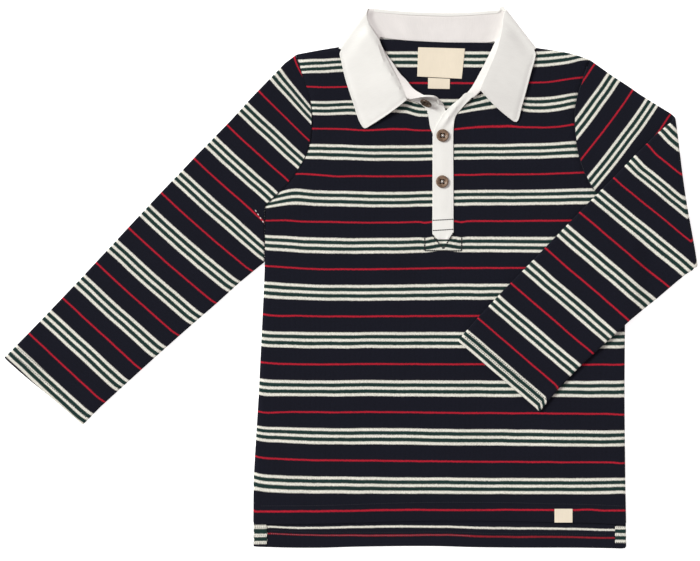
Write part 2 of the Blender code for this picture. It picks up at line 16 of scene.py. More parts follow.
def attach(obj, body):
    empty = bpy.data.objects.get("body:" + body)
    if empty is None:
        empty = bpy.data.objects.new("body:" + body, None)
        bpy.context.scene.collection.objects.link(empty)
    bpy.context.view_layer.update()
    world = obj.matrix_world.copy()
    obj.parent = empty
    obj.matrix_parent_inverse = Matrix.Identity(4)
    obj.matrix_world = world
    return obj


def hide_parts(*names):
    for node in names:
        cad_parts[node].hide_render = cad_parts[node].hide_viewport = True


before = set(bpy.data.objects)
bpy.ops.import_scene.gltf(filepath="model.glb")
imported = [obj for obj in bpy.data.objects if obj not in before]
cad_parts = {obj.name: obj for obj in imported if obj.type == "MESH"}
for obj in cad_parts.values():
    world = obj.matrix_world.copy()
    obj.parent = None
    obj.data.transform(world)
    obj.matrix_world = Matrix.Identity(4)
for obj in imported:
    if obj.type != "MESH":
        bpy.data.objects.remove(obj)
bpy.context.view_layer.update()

MM = 0.001

# Walls of the cloth here and in the solids, and heights
JERSEY = 1.0
TWILL = 1.0
TAPE = 0.4
SOLID_JERSEY = 1.2
SOLID_TWILL = 1.3
GAP = 0.3
SLEEVE_LOFT = 3.2
ELBOW_INNER = 0.75
FRONT_LOFT = 1.6
COLLAR_DEPTH = 3.5
FRONT_Z = SOLID_JERSEY + GAP
NECK_LIFT = SOLID_TWILL + GAP
BACK_REACH = 20.0       # the layers are lifted as far around the neck as this, and then sink
FRONT_REACH = 26.0
LIFT_RUN = 26.0
ROLL_WIDTH = 30.0
LOFT_RUN = 70.0
LOFT_WAVES = (31.0, 90.0)       # lengths across and along of the front's slow waves
HEM_FOLD = (-226.5, 1.5, 0.25)  # below this the front's hem is double: over what run, how thick
LEAF_Z = FRONT_Z + NECK_LIFT + SOLID_JERSEY + 0.7
SHOULDER_FOLD = (LEAF_Z + SOLID_TWILL) / 2
CREST_FOLD = (NECK_LIFT + SOLID_TWILL) / 2
FOREARM_DROP = 4.2
DROP_START = 4.0
DROP_RUN = 22.0
RIM_HEIGHT = 12.0
RIM_FLOOR = 0.2         # share of the height that the cloth has already below the rim
RIM_STEP = 0.6          # half of the width over which the rim rises
RIM_ROLL = 0.85         # and how far it rolls forward
RIM_BACK = 0.15         # the middle of the rise is this far behind the rim's line
RIM_FOOT = (73.0, 170.9, -0.36)             # the slope to the rim starts on this slanted line
RIM_ENDS = ((56.0, 17.0), (95.0, 16.0))     # and fades over a run at either end
RIM_CREASED = (61.0, 84.5)      # the mesh has lines along the rim between these places
OVER_TIP = (274.0, 14.0, 1.9)   # past this x + y the upper strip climbs the stand: run and rise
LEAF_SLOPE = 48.0       # a leaf rises over this distance towards its roll
LEAF_RISE = (5.2, 7.6)  # the right leaf's and the left one's
ROLL_ROUND = 5.0
ROLL_DROP = (3.9, 0.3)
WEDGE = (3.0, 6.2)      # the stand rises this much within this distance of the right roll
WEDGE_ENDS = ((232.0, 8.0), (272.0, 6.0))       # between these heights, over these runs
FOLD_START = 14.0       # and the rise fades this near to the shoulder's fold
EDGE_ROW = 2.0          # rows of stitches run this far inside the collar's edges

# Outlines of the body's panels as they lie (x, y)
SHOULDER_RIGHT = ((-13.0, 231.0), (-34.0, 227.5), (-56.2, 223.5))
ARMHOLE_RIGHT = (
    (-56.2, 223.5), (-53.0, 212.0), (-49.5, 200.5), (-43.4, 181.5), (-40.8, 163.5),
    (-41.2, 150.0), (-43.0, 136.0), (-47.3, 121.5), (-55.0, 107.9), (-64.0, 96.0),
    (-74.5, 85.0), (-87.5, 72.5),
)
SIDE_RIGHT = (
    (-87.6, 16.5), (-90.0, -42.5), (-92.0, -82.5), (-94.0, -122.5), (-96.5, -162.5),
    (-98.8, -202.5),
)
FRONT_HEM = ((-99.1, -244.0), (-97.6, -246.0), (-92.0, -246.5), (-80.0, -246.4), (-42.0, -246.2),
             (-2.0, -245.2), (48.0, -243.5), (88.0, -242.9), (148.0, -243.1), (198.0, -244.3),
             (248.0, -245.5), (266.0, -246.6), (272.4, -246.6), (273.7, -244.8))
BACK_HEM = ((-98.9, -268.9), (-84.0, -269.4), (-60.0, -270.0), (-30.0, -270.0), (0.0, -269.1),
            (45.0, -268.4), (85.0, -268.4), (120.0, -269.4), (165.0, -269.9), (225.0, -270.0),
            (262.0, -270.6), (271.5, -270.7), (274.0, -269.2))
SIDE_LEFT = ((273.0, -202.5), (272.2, -122.5), (272.6, -47.5), (273.0, 17.5))
ARMHOLE_LEFT = (
    (237.3, 218.5), (234.4, 210.0), (231.0, 200.0), (225.6, 182.5), (222.8, 167.0),
    (222.6, 152.0), (224.1, 137.0), (227.4, 120.5), (232.7, 104.9), (241.6, 88.6),
    (255.0, 76.8), (272.6, 69.4),
)
SHOULDER_LEFT = ((185.0, 229.8), (208.0, 226.4), (223.3, 223.0), (237.3, 218.5))
BACK_NECKLINE = ((-6.0, 232.4), (12.0, 235.6), (26.5, 238.8), (60.0, 237.0), (93.0, 235.6),
                 (142.6, 235.0), (151.0, 235.8), (177.0, 230.6))
FRONT_NECK_RIGHT = ((-6.0, 232.4), (4.0, 230.8), (14.0, 214.0), (28.0, 194.0), (42.0, 183.5),
                    (55.0, 178.6))
FRONT_NECK_LEFT = ((127.2, 185.5), (134.5, 198.0), (148.0, 229.5), (160.0, 234.0),
                   (177.0, 230.6))
SLIT_RIGHT_EDGE = ((58.6, 177.4), (67.2, 173.6), (74.2, 168.2), (76.2, 160.4), (77.7, 150.4),
                   (80.2, 144.2), (80.2, 43.6))
SLIT_LEFT_EDGE = ((101.4, 43.6), (101.4, 137.5), (101.9, 153.5), (103.4, 160.3),
                  (107.0, 166.0), (111.5, 171.0))
PLACKET_UNDER = (
    (55.6, 179.2), (60.0, 177.4), (67.5, 174.6), (73.3, 170.4), (75.3, 162.0), (78.0, 150.5),
    (80.3, 144.4), (80.3, 44.0), (100.6, 44.0), (100.6, 137.5), (99.0, 150.0), (96.0, 160.0),
    (92.9, 168.0), (90.9, 173.5), (87.0, 177.5), (82.7, 180.6), (77.6, 181.4), (71.0, 181.5),
    (62.0, 180.6),
)
RIM = ((55.0, 176.2), (58.8, 177.8), (63.0, 179.2), (67.8, 179.9), (73.0, 180.0), (78.3, 179.9),
       (82.5, 178.9), (84.6, 177.0), (86.5, 174.2))
PLACKET_OVER = (
    (80.1, 44.3), (85.3, 38.8), (97.0, 38.8), (100.8, 44.8), (100.6, 137.5), (101.0, 151.0),
    (102.8, 161.3), (108.7, 169.4), (117.9, 179.1), (124.5, 184.9), (113.0, 184.4),
    (108.7, 180.4), (93.4, 166.9), (83.4, 150.6), (80.4, 142.0),
)

# Collar: the edges of the fall's two leaves as they lie, its hem and its upper edge
LEAF_LEFT_SIDE = ((181.2, 228.0), (182.9, 223.2), (178.1, 205.2), (172.5, 183.7), (168.5, 169.3),
                  (166.3, 159.8), (164.0, 156.2), (161.4, 156.6))
LEAF_LEFT_FRONT = ((161.4, 156.6), (151.8, 163.7), (141.4, 172.5), (131.9, 182.1), (127.1, 187.6))
LEAF_LEFT_ROLL = ((127.1, 187.6), (133.5, 202.8), (143.0, 225.1), (146.4, 237.0), (149.0, 249.0),
                  (151.4, 265.0))
LEAF_RIGHT_ROLL = ((15.2, 268.4), (14.1, 262.0), (16.6, 253.6), (21.3, 245.4), (26.0, 238.5),
                   (32.7, 222.0), (43.1, 202.0), (55.9, 179.4))
LEAF_RIGHT_FRONT = ((55.9, 179.4), (47.5, 172.5), (31.9, 161.4), (15.2, 150.9))
LEAF_RIGHT_SIDE = ((15.2, 150.9), (12.4, 149.8), (9.9, 151.8), (6.4, 158.2), (0.8, 174.9),
                   (-7.1, 199.6), (-11.4, 218.6), (-12.7, 224.0), (-10.9, 228.1))
FALL_HEM = ((-10.9, 228.1), (5.0, 222.0), (20.0, 219.0), (86.0, 216.5), (150.0, 219.0),
            (165.0, 222.5), (181.2, 228.0))
CREST = ((17.6, 270.9), (27.5, 269.3), (42.5, 268.0), (53.0, 267.1), (77.5, 266.1), (93.0, 265.7),
         (107.5, 266.0), (122.5, 266.8), (137.5, 268.0), (151.2, 269.0))
CREST_MITRE = (4.2, 0.0)            # the crest's turned-over ends are this much shorter

SHOULDER_TURN_RIGHT = ((15.4, 270.8), (-14.3, 229.5))
SHOULDER_TURN_LEFT = ((154.2, 268.4), (183.9, 230.0))
STAND_SECTIONS = (
    # outer_x, outer_y, outer_z, inner_x, inner_y, inner_z
    (57.0, 178.2, 7.2, 73.0, 180.6, 14.2),
    (46.5, 184.0, 5.4, 61.3, 188.4, 8.4),
    (36.0, 194.5, 5.2, 53.6, 198.0, 5.6),
    (31.0, 203.0, 5.2, 47.5, 204.4, 5.2),
    (25.0, 213.0, 5.1, 39.9, 215.6, 5.0),
    (20.0, 222.0, 4.8, 34.0, 223.8, 4.7),
    (15.0, 231.5, 4.2, 28.2, 234.6, 3.9),
    (11.0, 241.0, 3.0, 27.4, 240.4, 2.0),
    (10.5, 255.0, 1.8, 33.0, 240.2, 1.5),
    (17.0, 269.0, 0.9, 43.0, 239.0, 1.5),
    (53.0, 264.4, 0.8, 60.0, 237.6, 1.5),
    (93.0, 263.0, 0.8, 93.0, 236.0, 1.5),
    (122.5, 264.1, 0.8, 120.0, 235.8, 1.5),
    (151.5, 267.6, 0.9, 135.0, 235.8, 1.6),
    (156.0, 252.0, 4.0, 142.2, 236.4, 2.8),
    (153.0, 240.0, 6.4, 140.4, 231.6, 4.1),
    (147.6, 224.0, 8.6, 134.6, 219.4, 4.7),
    (138.6, 203.0, 9.4, 126.1, 203.2, 4.8),
    (131.0, 190.0, 8.0, 117.5, 188.5, 4.7),
    (122.0, 180.5, 5.0, 107.0, 178.2, 4.2),
)

# Sleeves, a row for each section beyond the armhole
SLEEVE_RIGHT_SECTIONS = (
    # outer_x, outer_y, under_x, under_y, bow
    (-67.6, 215.2, -88.2, 72.2, 0.85),
    (-82.6, 199.8, -88.2, 70.2, 0.60),
    (-104.1, 177.5, -88.2, 64.0, 0.30),
    (-122.1, 157.6, -88.2, 54.0, 0.12),
    (-140.4, 138.9, -88.2, 38.0, 0.03),
    (-155.9, 123.3, -88.4, 15.6, 0.0),
    (-169.4, 108.9, -98.3, 7.7, 0.0),
    (-184.8, 93.0, -113.8, -5.2, 0.0),
    (-212.7, 63.3, -136.9, -26.1, 0.0),
    (-241.7, 32.1, -166.6, -51.8, 0.0),
    (-272.2, -0.6, -200.5, -81.9, 0.0),
    (-302.9, -32.8, -233.0, -111.4, 0.0),
    (-326.7, -57.5, -252.3, -129.0, 0.0),
    (-348.1, -79.1, -269.9, -146.9, 0.0),
)
UPPER_ARM_SECTIONS = (
    # outer_x, outer_y, under_x, under_y, bow
    (246.3, 212.3, 273.9, 69.0, 0.85),
    (259.2, 203.1, 275.0, 67.6, 0.62),
    (275.2, 192.7, 278.0, 63.5, 0.36),
    (287.9, 183.8, 292.0, 49.5, 0.16),
    (302.8, 174.5, 316.0, 31.0, 0.05),
    (318.3, 165.0, 342.0, 12.0, 0.0),
)
FOREARM_SECTIONS = (
    # outer_x, outer_y, under_x, under_y, bow
    (318.7, 157.1, 341.5, 9.9, 0.0),
    (303.9, 144.1, 339.3, 7.5, 0.0),
    (284.2, 124.9, 333.5, 3.9, 0.0),
    (262.0, 101.7, 323.5, -4.6, 0.0),
    (236.0, 75.6, 304.0, -21.3, 0.0),
    (208.0, 46.6, 279.0, -40.8, 0.0),
    (180.0, 17.6, 253.8, -64.0, 0.0),
    (152.0, -10.9, 228.0, -87.5, 0.0),
    (126.0, -38.5, 205.2, -111.4, 0.0),
    (104.9, -62.7, 187.0, -133.3, 0.0),
)
CUFF_SHARES = (0.0, 0.04, 0.15, 0.27, 0.45, 0.7, 1.0)
CUFF_BULGE = (0.5, 0.9, 1.15, 1.2, 0.7, 0.2, 0.0)     # the right cuff's edge bows out
ELBOW_TURN = ((322.6, 162.0), (345.4, 10.5))
ELBOW_HOLLOW = (1.5, 40.0)      # how far the fold's line bends in, fading over this distance
ELBOW_STEPS = 10

# Trim
NECK_LABEL = ((64.8, 201.7), (109.2, 199.4), (112.4, 229.5), (65.8, 230.8))
SIZE_LABEL = ((75.6, 189.6), (97.2, 189.2), (97.4, 199.2), (75.7, 200.3))
HEM_LABEL = ((202.2, -244.6), (220.0, -244.6), (220.0, -231.0), (202.2, -231.0))
BACK_TURN_UP = ((-84.9, -269.0), (-60.0, -269.5), (-30.0, -269.5), (0.0, -268.7), (45.0, -268.0),
                (85.0, -268.0), (120.0, -269.0), (165.0, -269.4), (225.0, -269.5),
                (262.6, -270.1), (262.6, -247.4), (180.0, -246.6), (90.0, -246.0), (0.0, -247.4),
                (-84.6, -247.4))
VENT_RIGHT = ((-98.3, -268.3), (-86.2, -268.9), (-85.9, -256.0), (-86.4, -247.0), (-98.6, -246.8),
              (-97.9, -256.0))
VENT_LEFT = ((263.0, -270.1), (272.6, -270.3), (273.5, -269.0), (273.4, -247.6), (263.2, -247.8))
BUTTONS = (
    # name, node, x, y, tilt, turn, standing off
    ("top_button", "button_top", 73.8, 175.2, 73.0, -26.0, 3.6),
    ("middle_button", "button_middle", 90.1, 142.4, 0.0, 0.0, 0.0),
    ("lower_button", "button_lower", 89.6, 96.3, 0.0, 0.0, 0.0),
)
BUTTON_PROFILE = (
    # radius, height
    (4.6, 0.0), (5.7, 0.25), (6.2, 0.8), (6.3, 1.3), (6.1, 1.9), (5.6, 2.25), (5.0, 2.3),
    (4.5, 2.1), (4.1, 1.7), (3.6, 1.5),
)
SHANK_PROFILE = ((3.0, 0.02), (3.2, 0.12), (3.2, 0.2), (3.0, 0.28))
HOLE_RADIUS = 1.05
HOLE_REACH = 2.0        # from the button's middle to a hole's

# Stripes. One pattern repeat is 1.0 of a piece's stripe phase: a group of five bands is at each
# whole number and a thin line midway.
PITCH = 47.5            # length of one repeat
GROUP = (1.35, 5.05, 7.8)       # where the group's bands end, out from its middle
LINE = 1.6              # width of the thin line
# Heights of the groups on the front, as it lies, at stations across it
FRONT_STATIONS = (-77.0, -32.0, 38.0, 110.0, 188.0, 248.0)
FRONT_GROUPS = (
    (215.5, 211.7, 213.0, 217.5, 219.0, 225.0),
    (173.0, 169.7, 170.7, 172.5, 173.3, 179.0),
    (126.5, 126.7, 124.9, 126.1, 127.3, 130.3),
    (78.5, 79.5, 78.5, 80.2, 80.9, 82.3),
    (34.9, 32.5, 32.5, 33.7, 33.3, 33.3),
    (-12.6, -14.5, -14.5, -13.7, -13.5, -13.5),
    (-61.6, -62.3, -62.0, -62.0, -62.1, -62.5),
    (-110.3, -110.4, -110.0, -110.7, -110.8, -111.2),
    (-156.8, -158.0, -158.3, -159.3, -159.9, -160.9),
    (-205.7, -206.6, -207.3, -207.9, -208.3, -208.0),
    (-261.5, -260.3, -258.4, -256.7, -255.9, -257.5),
)
SIDE_RISE = (1.7, 9.0)          # how far stripes rise at a side seam, and over what distance
SIDE_SPAN = ((-232.0, 20.0), (62.0, 10.0))      # between these heights, over these runs
LEFT_SIDE_SHARE = 0.4           # and how much of it the left seam has
ARMHOLE_DIP = (2.6, 8.0)        # and how far they dip at the lower armhole
ARMHOLE_SPAN = (60.0, 125.0, 40.0)      # above one height, and below another over this run
BACK_FIRST_GROUP = 218.9
# The back's turned-up hem: the edge of a band and the thin line, at stations across it
HEM_STATIONS = (-80.0, -62.0, -42.0, -2.0, 48.0, 88.0, 148.0, 198.0, 248.0, 262.0)
HEM_BAND = (-249.2, -250.1, -250.3, -249.3, -248.6, -249.0, -250.4, -250.8, -251.8, -252.3)
HEM_LINE = (-255.9, -256.7, -257.3, -257.6, -257.6, -257.2, -259.1, -259.1, -260.0, -260.2)
HEM_ROW_GAP = 3.1       # between the two rows of stitches on the back hem
VENT_STRIPES = ((-257.8, 0.735, 0.93), (-256.9, 0.95, 0.95))    # a group's middle on the right and
                        # left vent facing, and how dense the stripes are above and below it
# Along each sleeve: where a line starts, which way it runs, the groups' distances along it and
# how the stripes lean across it
RIGHT_LINE = ((-56.0, 223.5), (-0.6927, -0.7212))
RIGHT_GROUPS = (29.5, 75.4, 122.2, 169.6, 217.3, 265.4, 313.2, 362.1, 411.0)
RIGHT_LEAN = 0.016
UPPER_LINE = ((225.2, 221.3), (0.834, -0.551))
UPPER_GROUPS = (41.2, 87.2, 130.8)
UPPER_LEAN = 0.0163
UPPER_BEND = 0.00053
FORE_LINE = ((322.6, 163.0), (-0.688, -0.726))
FORE_GROUPS = (17.8, 64.4, 111.0, 160.7, 210.1, 258.6, 305.6)
FORE_FIRST = 3
FORE_LEAN = 0.052

# Colours, linear
NAVY = (0.0051, 0.0058, 0.0130)
CREAM = (0.842, 0.826, 0.735)
GREEN = (0.0095, 0.033, 0.0285)
RED = (0.50, 0.0105, 0.029)
HEM_RED = (0.30, 0.012, 0.022)
WHITE = (0.87, 0.865, 0.825)
LABEL = (0.87, 0.78, 0.62)
THREAD_NAVY = (0.012, 0.013, 0.022)
THREAD_WHITE = (0.88, 0.86, 0.83)
THREAD_BLACK = (0.012, 0.012, 0.014)
THREAD_PINK = (0.42, 0.20, 0.24)
# near black brown for the button shanks: thread, and painted shade seen in the buttons' holes
BROWN_THREAD_AND_HOLE_SHADE = (0.022, 0.014, 0.010)
HORN_DARK = (0.105, 0.062, 0.038)
HORN_LIGHT = (0.30, 0.20, 0.135)

# Sewing
FRONT_HEM_DEPTH = 18.4
RIGHT_CUFF_ROWS = (8.0, 15.6)
LEFT_CUFF_ROWS = (7.7, 13.2)
UNDERARM_FOLD = ((-97.4, 68.2), (-87.9, 53.8))
RIGHT_VENT_ROWS = ((-98.0, -86.5), (-248.2, -249.8, -258.0, -265.2))    # from and to, and heights
LEFT_VENT_ROWS = ((263.5, 273.0), (-249.4, -257.2, -264.6))
UNDERARM_SEAM = ((-88.0, 72.5), (-88.0, 16.2))
PLACKET_BARS = ((57.6, 58.7), (47.4, 48.7))     # heights at the strip's right and left edge
PLACKET_V = (42.3, (91.0, 29.2), 45.3)          # the same, with the point between
PLACKET_BOX = (((72.3, 40.2), (72.3, 27.2)), ((109.2, 42.3), (109.2, 27.2)),
               ((72.3, 27.4), (109.2, 27.2)))
PLACKET_EDGE_ROW = 2.2          # rows run this far inside the strip's edges, between heights
PLACKET_EDGE_SPAN = (60.0, 140.0)
PLACKET_EDGE_TOP = ((101.5, 162.5), (106.7, 170.6))
CREST_ROW = 6.2                 # the stand's upper row lies this far below the crest
STAND_ROW = ((44.0, 240.6), (60.0, 239.4), (93.0, 237.7), (134.0, 237.5))
CUFF_ROW_ENDS = (0.025, 0.975)  # shares of the cuff's width
PINK_ROW_END = 122.0            # the hem's pink row stops before here
ARMHOLE_SHOWN = 88.0            # the left armhole's seam shows above here
SEAM_HEIGHT, UNDERARM_HEIGHT = 2.4, 1.5
LABEL_ROW = 0.045               # share of the way from a label's corners to its middle
STITCHES = {
    # radius, length and the gap to the next one
    "hem_stitches": (0.36, 1.5, 0.8),
    "back_hem_stitches": (0.3, 0.9, 1.2),
    "vent_stitches": (0.3, 0.9, 0.9),
    "armhole_seams": (0.5, 2.6, 0.1),
    "placket_stitches": (0.55, 2.2, 0.2),
    "placket_end_stitches": (0.7, 2.1, 0.05),
    "collar_stitches": (0.2, 1.5, 0.6),
    "label_stitches": (0.16, 1.2, 0.8),
    "underarm_stitches": (0.5, 2.0, 0.2),
}


# Small geometry

def smooth(value):
    value = min(max(value, 0.0), 1.0)
    return value * value * (3.0 - 2.0 * value)


def between(value, ends):
    """1 between two places, falling to 0 over a run inside each."""
    (low, low_run), (high, high_run) = ends
    return smooth((value - low) / low_run) * smooth((high - value) / high_run)


def mix(a, b, share):
    return tuple(p + (q - p) * share for p, q in zip(a, b))


def divided(points, spacing):
    """The line through the points, with no step longer than the spacing."""
    line = [tuple(points[0])]
    for start, end in zip(points, points[1:]):
        steps = max(1, math.ceil(math.dist(start, end) / spacing))
        line += [mix(start, end, step / steps) for step in range(1, steps + 1)]
    return line


def hermite(start, end, slope_in, slope_out, share):
    """A value between start and end that leaves and arrives at the given slopes."""
    rest = 2 * share**3 - 3 * share**2 + 1
    return (rest * start + (1 - rest) * end + (share**3 - 2 * share**2 + share) * slope_in
            + (share**3 - share**2) * slope_out)


def curved(points, spacing):
    """A smooth line through the points."""
    padded = [mix(points[1], points[0], 2.0)] + list(points) + [mix(points[-2], points[-1], 2.0)]
    line = [tuple(points[0])]
    for before, start, end, after in zip(padded, padded[1:], padded[2:], padded[3:]):
        run = math.dist(start, end)
        into = run / max(math.dist(before, end), 1e-6)
        out = run / max(math.dist(start, after), 1e-6)
        steps = max(1, math.ceil(run / spacing))
        for step in range(1, steps + 1):
            line.append(tuple(hermite(p1, p2, (p2 - p0) * into, (p3 - p1) * out, step / steps)
                              for p0, p1, p2, p3 in zip(before, start, end, after)))
    return line


def length_of(line):
    return sum(math.dist(a, b) for a, b in zip(line, line[1:]))


def point_along(line, share):
    """The point at a share of the line's length."""
    left = share * length_of(line)
    for a, b in zip(line, line[1:]):
        step = math.dist(a, b)
        if left <= step:
            return mix(a, b, left / step)
        left -= step
    return line[-1]


def moved_out(points, distance):
    moved = []
    for index, (x, y) in enumerate(points):
        before = points[max(index - 1, 0)]
        after = points[min(index + 1, len(points) - 1)]
        run = math.dist(before, after)
        moved.append((x - distance * (after[1] - before[1]) / run,
                      y + distance * (after[0] - before[0]) / run))
    return moved


def area(outline):
    return 0.5 * sum(a[0] * b[1] - b[0] * a[1]
                     for a, b in zip(outline, outline[1:] + outline[:1]))


def away(points, line):
    """Distance of each point from the line, for arrays of points."""
    points = np.asarray(points, float)
    nearest = np.full(len(points), 1e9)
    for a, b in zip(line, line[1:]):
        a, b = np.array(a[:2]), np.array(b[:2])
        step = b - a
        share = np.clip(((points - a) @ step) / max(step @ step, 1e-12), 0.0, 1.0)
        nearest = np.minimum(nearest, np.linalg.norm(points - a - share[:, None] * step, axis=1))
    return nearest


def nearness(x, y, line, run):
    """1 on the line, falling evenly to 0 at this distance from it."""
    return max(0.0, 1.0 - away([(x, y)], line)[0] / run)


def within(points, outline):
    """Which of the points are inside the closed outline."""
    points = np.asarray(points, float)
    x, y = points[:, 0], points[:, 1]
    found = np.zeros(len(points), bool)
    for (ax, ay), (bx, by) in zip(outline, outline[1:] + outline[:1]):
        if ay != by:
            crosses = (ay > y) != (by > y)
            found ^= crosses & (x < ax + (y - ay) * (bx - ax) / (by - ay))
    return found


def turned(over, turn, radius, height):
    """Cloth this far past a fold's axis lies this far out, and at this height."""
    reach = radius - height
    if over < turn:
        angle = math.pi * over / turn
        return reach * math.sin(angle), radius - reach * math.cos(angle)
    return turn - over, radius + reach


class Fold:
    """A turn of flat cloth about a straight line, from below to above."""

    def __init__(self, silhouette, radius, layers, outside):
        start, end = (Vector(p) for p in silhouette)
        self.along = (end - start).normalized()
        self.out = Vector((self.along.y, -self.along.x)) * outside
        self.axis = start - self.out * radius
        self.radius = radius
        self.turn = math.pi * (radius - layers / 2)

    def beyond(self, x, y):
        return (x - self.axis.x) * self.out.x + (y - self.axis.y) * self.out.y

    def flat(self, x, y):
        back = self.turn - 2 * self.beyond(x, y)
        return x + self.out.x * back, y + self.out.y * back

    def creases(self, first, last, steps):
        lines = []
        for step in range(steps + 1):
            start = self.axis + self.out * self.turn * step / steps
            lines.append((tuple(start + self.along * first), tuple(start + self.along * last)))
        return lines

    def place(self, x, y, height):
        over = self.beyond(x, y)
        if over <= 0.0:
            return None
        shift, z = turned(over, self.turn, self.radius, height)
        return x + self.out.x * (shift - over), y + self.out.y * (shift - over), z


# Meshes

def put_in_scene(name, data):
    made = bpy.data.objects.new(name, data)
    bpy.context.collection.objects.link(made)
    return made


def add_mesh(name, points, faces, material, grain=None, angle=40):
    """An object from points in millimetres, with its faces pointing out."""
    mesh = bpy.data.meshes.new(name)
    mesh.from_pydata([(x * MM, y * MM, z * MM) for x, y, z in points], [], faces)
    if grain is not None:
        layer = mesh.uv_layers.new(name="Grain")
        corners = np.empty(len(mesh.loops), np.int32)
        mesh.loops.foreach_get("vertex_index", corners)
        layer.data.foreach_set("uv", np.asarray(grain, np.float32)[corners].ravel())
    work = bmesh.new()
    work.from_mesh(mesh)
    bmesh.ops.recalc_face_normals(work, faces=work.faces)
    work.to_mesh(mesh)
    work.free()
    mesh.shade_smooth()
    mesh.set_sharp_from_angle(angle=math.radians(angle))
    mesh.materials.append(material)
    piece = put_in_scene(name, mesh)
    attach(piece, "root")
    return piece


def fill(outline, spacing, creases=()):
    """Even triangles inside the outline. Gives the points, the triangles and the rim's edges."""
    if area(outline) < 0:
        outline = outline[::-1]
    points = list(outline)
    count = len(outline)
    edges = [(i, (i + 1) % count) for i in range(count)]
    bent = []
    for crease in creases:
        line = divided(list(crease), spacing)
        edges += [(len(points) + i, len(points) + i + 1) for i in range(len(line) - 1)]
        points += line
        bent.append(line)
    xs, ys = zip(*outline)
    height = spacing * 0.87
    rows = max(1, round((max(ys) - min(ys)) / height))
    columns = max(1, round((max(xs) - min(xs)) / spacing))
    row, column = np.mgrid[1:rows, 0:columns + 1]
    grid = np.stack([
        min(xs) + (column + 0.5 * (row % 2)) / columns * (max(xs) - min(xs)),
        min(ys) + row / rows * (max(ys) - min(ys))], axis=-1).reshape(-1, 2)
    grid = grid[within(grid, outline)]
    grid = grid[away(grid, outline + outline[:1]) > 0.45 * spacing]
    for line in bent:
        grid = grid[away(grid, line) > 0.5 * spacing]
    points += [tuple(p) for p in grid]
    flat, _, triangles, *_ = geometry.delaunay_2d_cdt(
        [Vector(p) for p in points], edges, [], 1, 1e-4)
    used = sorted({index for face in triangles for index in face})
    renumbered = {old: new for new, old in enumerate(used)}
    triangles = [tuple(renumbered[index] for index in face) for face in triangles]
    flat = [(flat[index].x, flat[index].y) for index in used]
    sides = {(f[i], f[(i + 1) % 3]) for f in triangles for i in range(3)}
    rim = [(a, b) for a, b in sorted(sides) if (b, a) not in sides]
    return flat, triangles, rim


CLOTHS = {}


def declare(piece, node, flat_area=None):
    CLOTHS[piece.name] = piece
    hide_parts(node)


def cloth(name, node, outline, spacing, wall, place, grain, material, creases=(),
          sinks=(), round_rim=0.3):
    """A wall of cloth cut to the outline and laid down by the place function.

    A sink is a line, how deep the cloth dips along it and how wide the dip is.
    """
    outline = [tuple(p) for p in outline]
    flat, triangles, rim = fill(outline, spacing, creases)
    total = len(flat)
    dips = np.zeros(total)
    for line, depth, width in sinks:
        near = np.clip(1.0 - away(flat, line) / width, 0.0, 1.0)
        dips += depth * near * near
    lower = [place(x, y, 0.0) for x, y in flat]
    upper = [place(x, y, wall) for x, y in flat]
    points = [(x, y, max(z - min(d, wall / 2), 0.0)) for (x, y, z), d in zip(lower, dips)]
    points += [(x, y, max(z - d, 0.1)) for (x, y, z), d in zip(upper, dips)]
    faces = [tuple(i + total for i in face) for face in triangles]
    faces += [tuple(reversed(face)) for face in triangles]
    middle = {}
    afters = dict(rim)
    befores = {b: a for a, b in rim}
    for a in afters:
        ahead, behind = flat[afters[a]], flat[befores[a]]
        run = max(math.dist(ahead, behind), 1e-6)
        out = ((ahead[1] - behind[1]) / run * round_rim, -(ahead[0] - behind[0]) / run * round_rim)
        x, y, z = place(flat[a][0] + out[0], flat[a][1] + out[1], wall / 2)
        middle[a] = len(points)
        points.append((x, y, max(z - dips[a] * 0.8, 0.05)))
    for a, b in rim:
        faces.append((a, b, middle[b], middle[a]))
        faces.append((middle[a], middle[b], b + total, a + total))
    threads = [grain(x, y) for x, y in flat]
    threads = threads + threads + [threads[a] for a in middle]
    piece = add_mesh(name, points, faces, material, threads)
    xs, ys = zip(*outline)
    wide, long = (max(xs) - min(xs)) * MM, (max(ys) - min(ys)) * MM
    declare(piece, node,
            min(abs(area(outline)) * MM * MM, wide * long))


def circle(radius, height, sides):
    angles = [2 * math.pi * side / sides for side in range(sides)]
    return [(radius * math.cos(angle), radius * math.sin(angle), height) for angle in angles]


def skin(rings, points, faces, closed=False):
    """Adds a wall through rings of points, with flat ends or closed end to end."""
    sides, base = len(rings[0]), len(points)
    for ring in rings:
        points += ring
    for row in range(len(rings) - (not closed)):
        here, there = base + row * sides, base + (row + 1) % len(rings) * sides
        for a in range(sides):
            b = (a + 1) % sides
            faces.append((here + a, here + b, there + b, there + a))
    if not closed:
        faces += [tuple(range(base, base + sides)), tuple(range(len(points) - sides, len(points)))]


def thread_ring(x, y, z, side, radius):
    """Points around a thread that runs square to the side direction."""
    return [(x + side.x * out, y + side.y * out, z + up) for out, up, _ in circle(radius, 0.0, 6)]


# Materials

def put(node, values):
    for name, value in values.items():
        node.inputs[name].default_value = value


def shader_of(name, roughness, sheen=0.0, specular=0.2):
    made = bpy.data.materials.new(name)
    made.use_nodes = True
    shader = made.node_tree.nodes["Principled BSDF"]
    put(shader, {"Roughness": roughness, "Sheen Weight": sheen, "Sheen Roughness": 0.5,
                 "Specular IOR Level": specular})
    return made, made.node_tree, shader


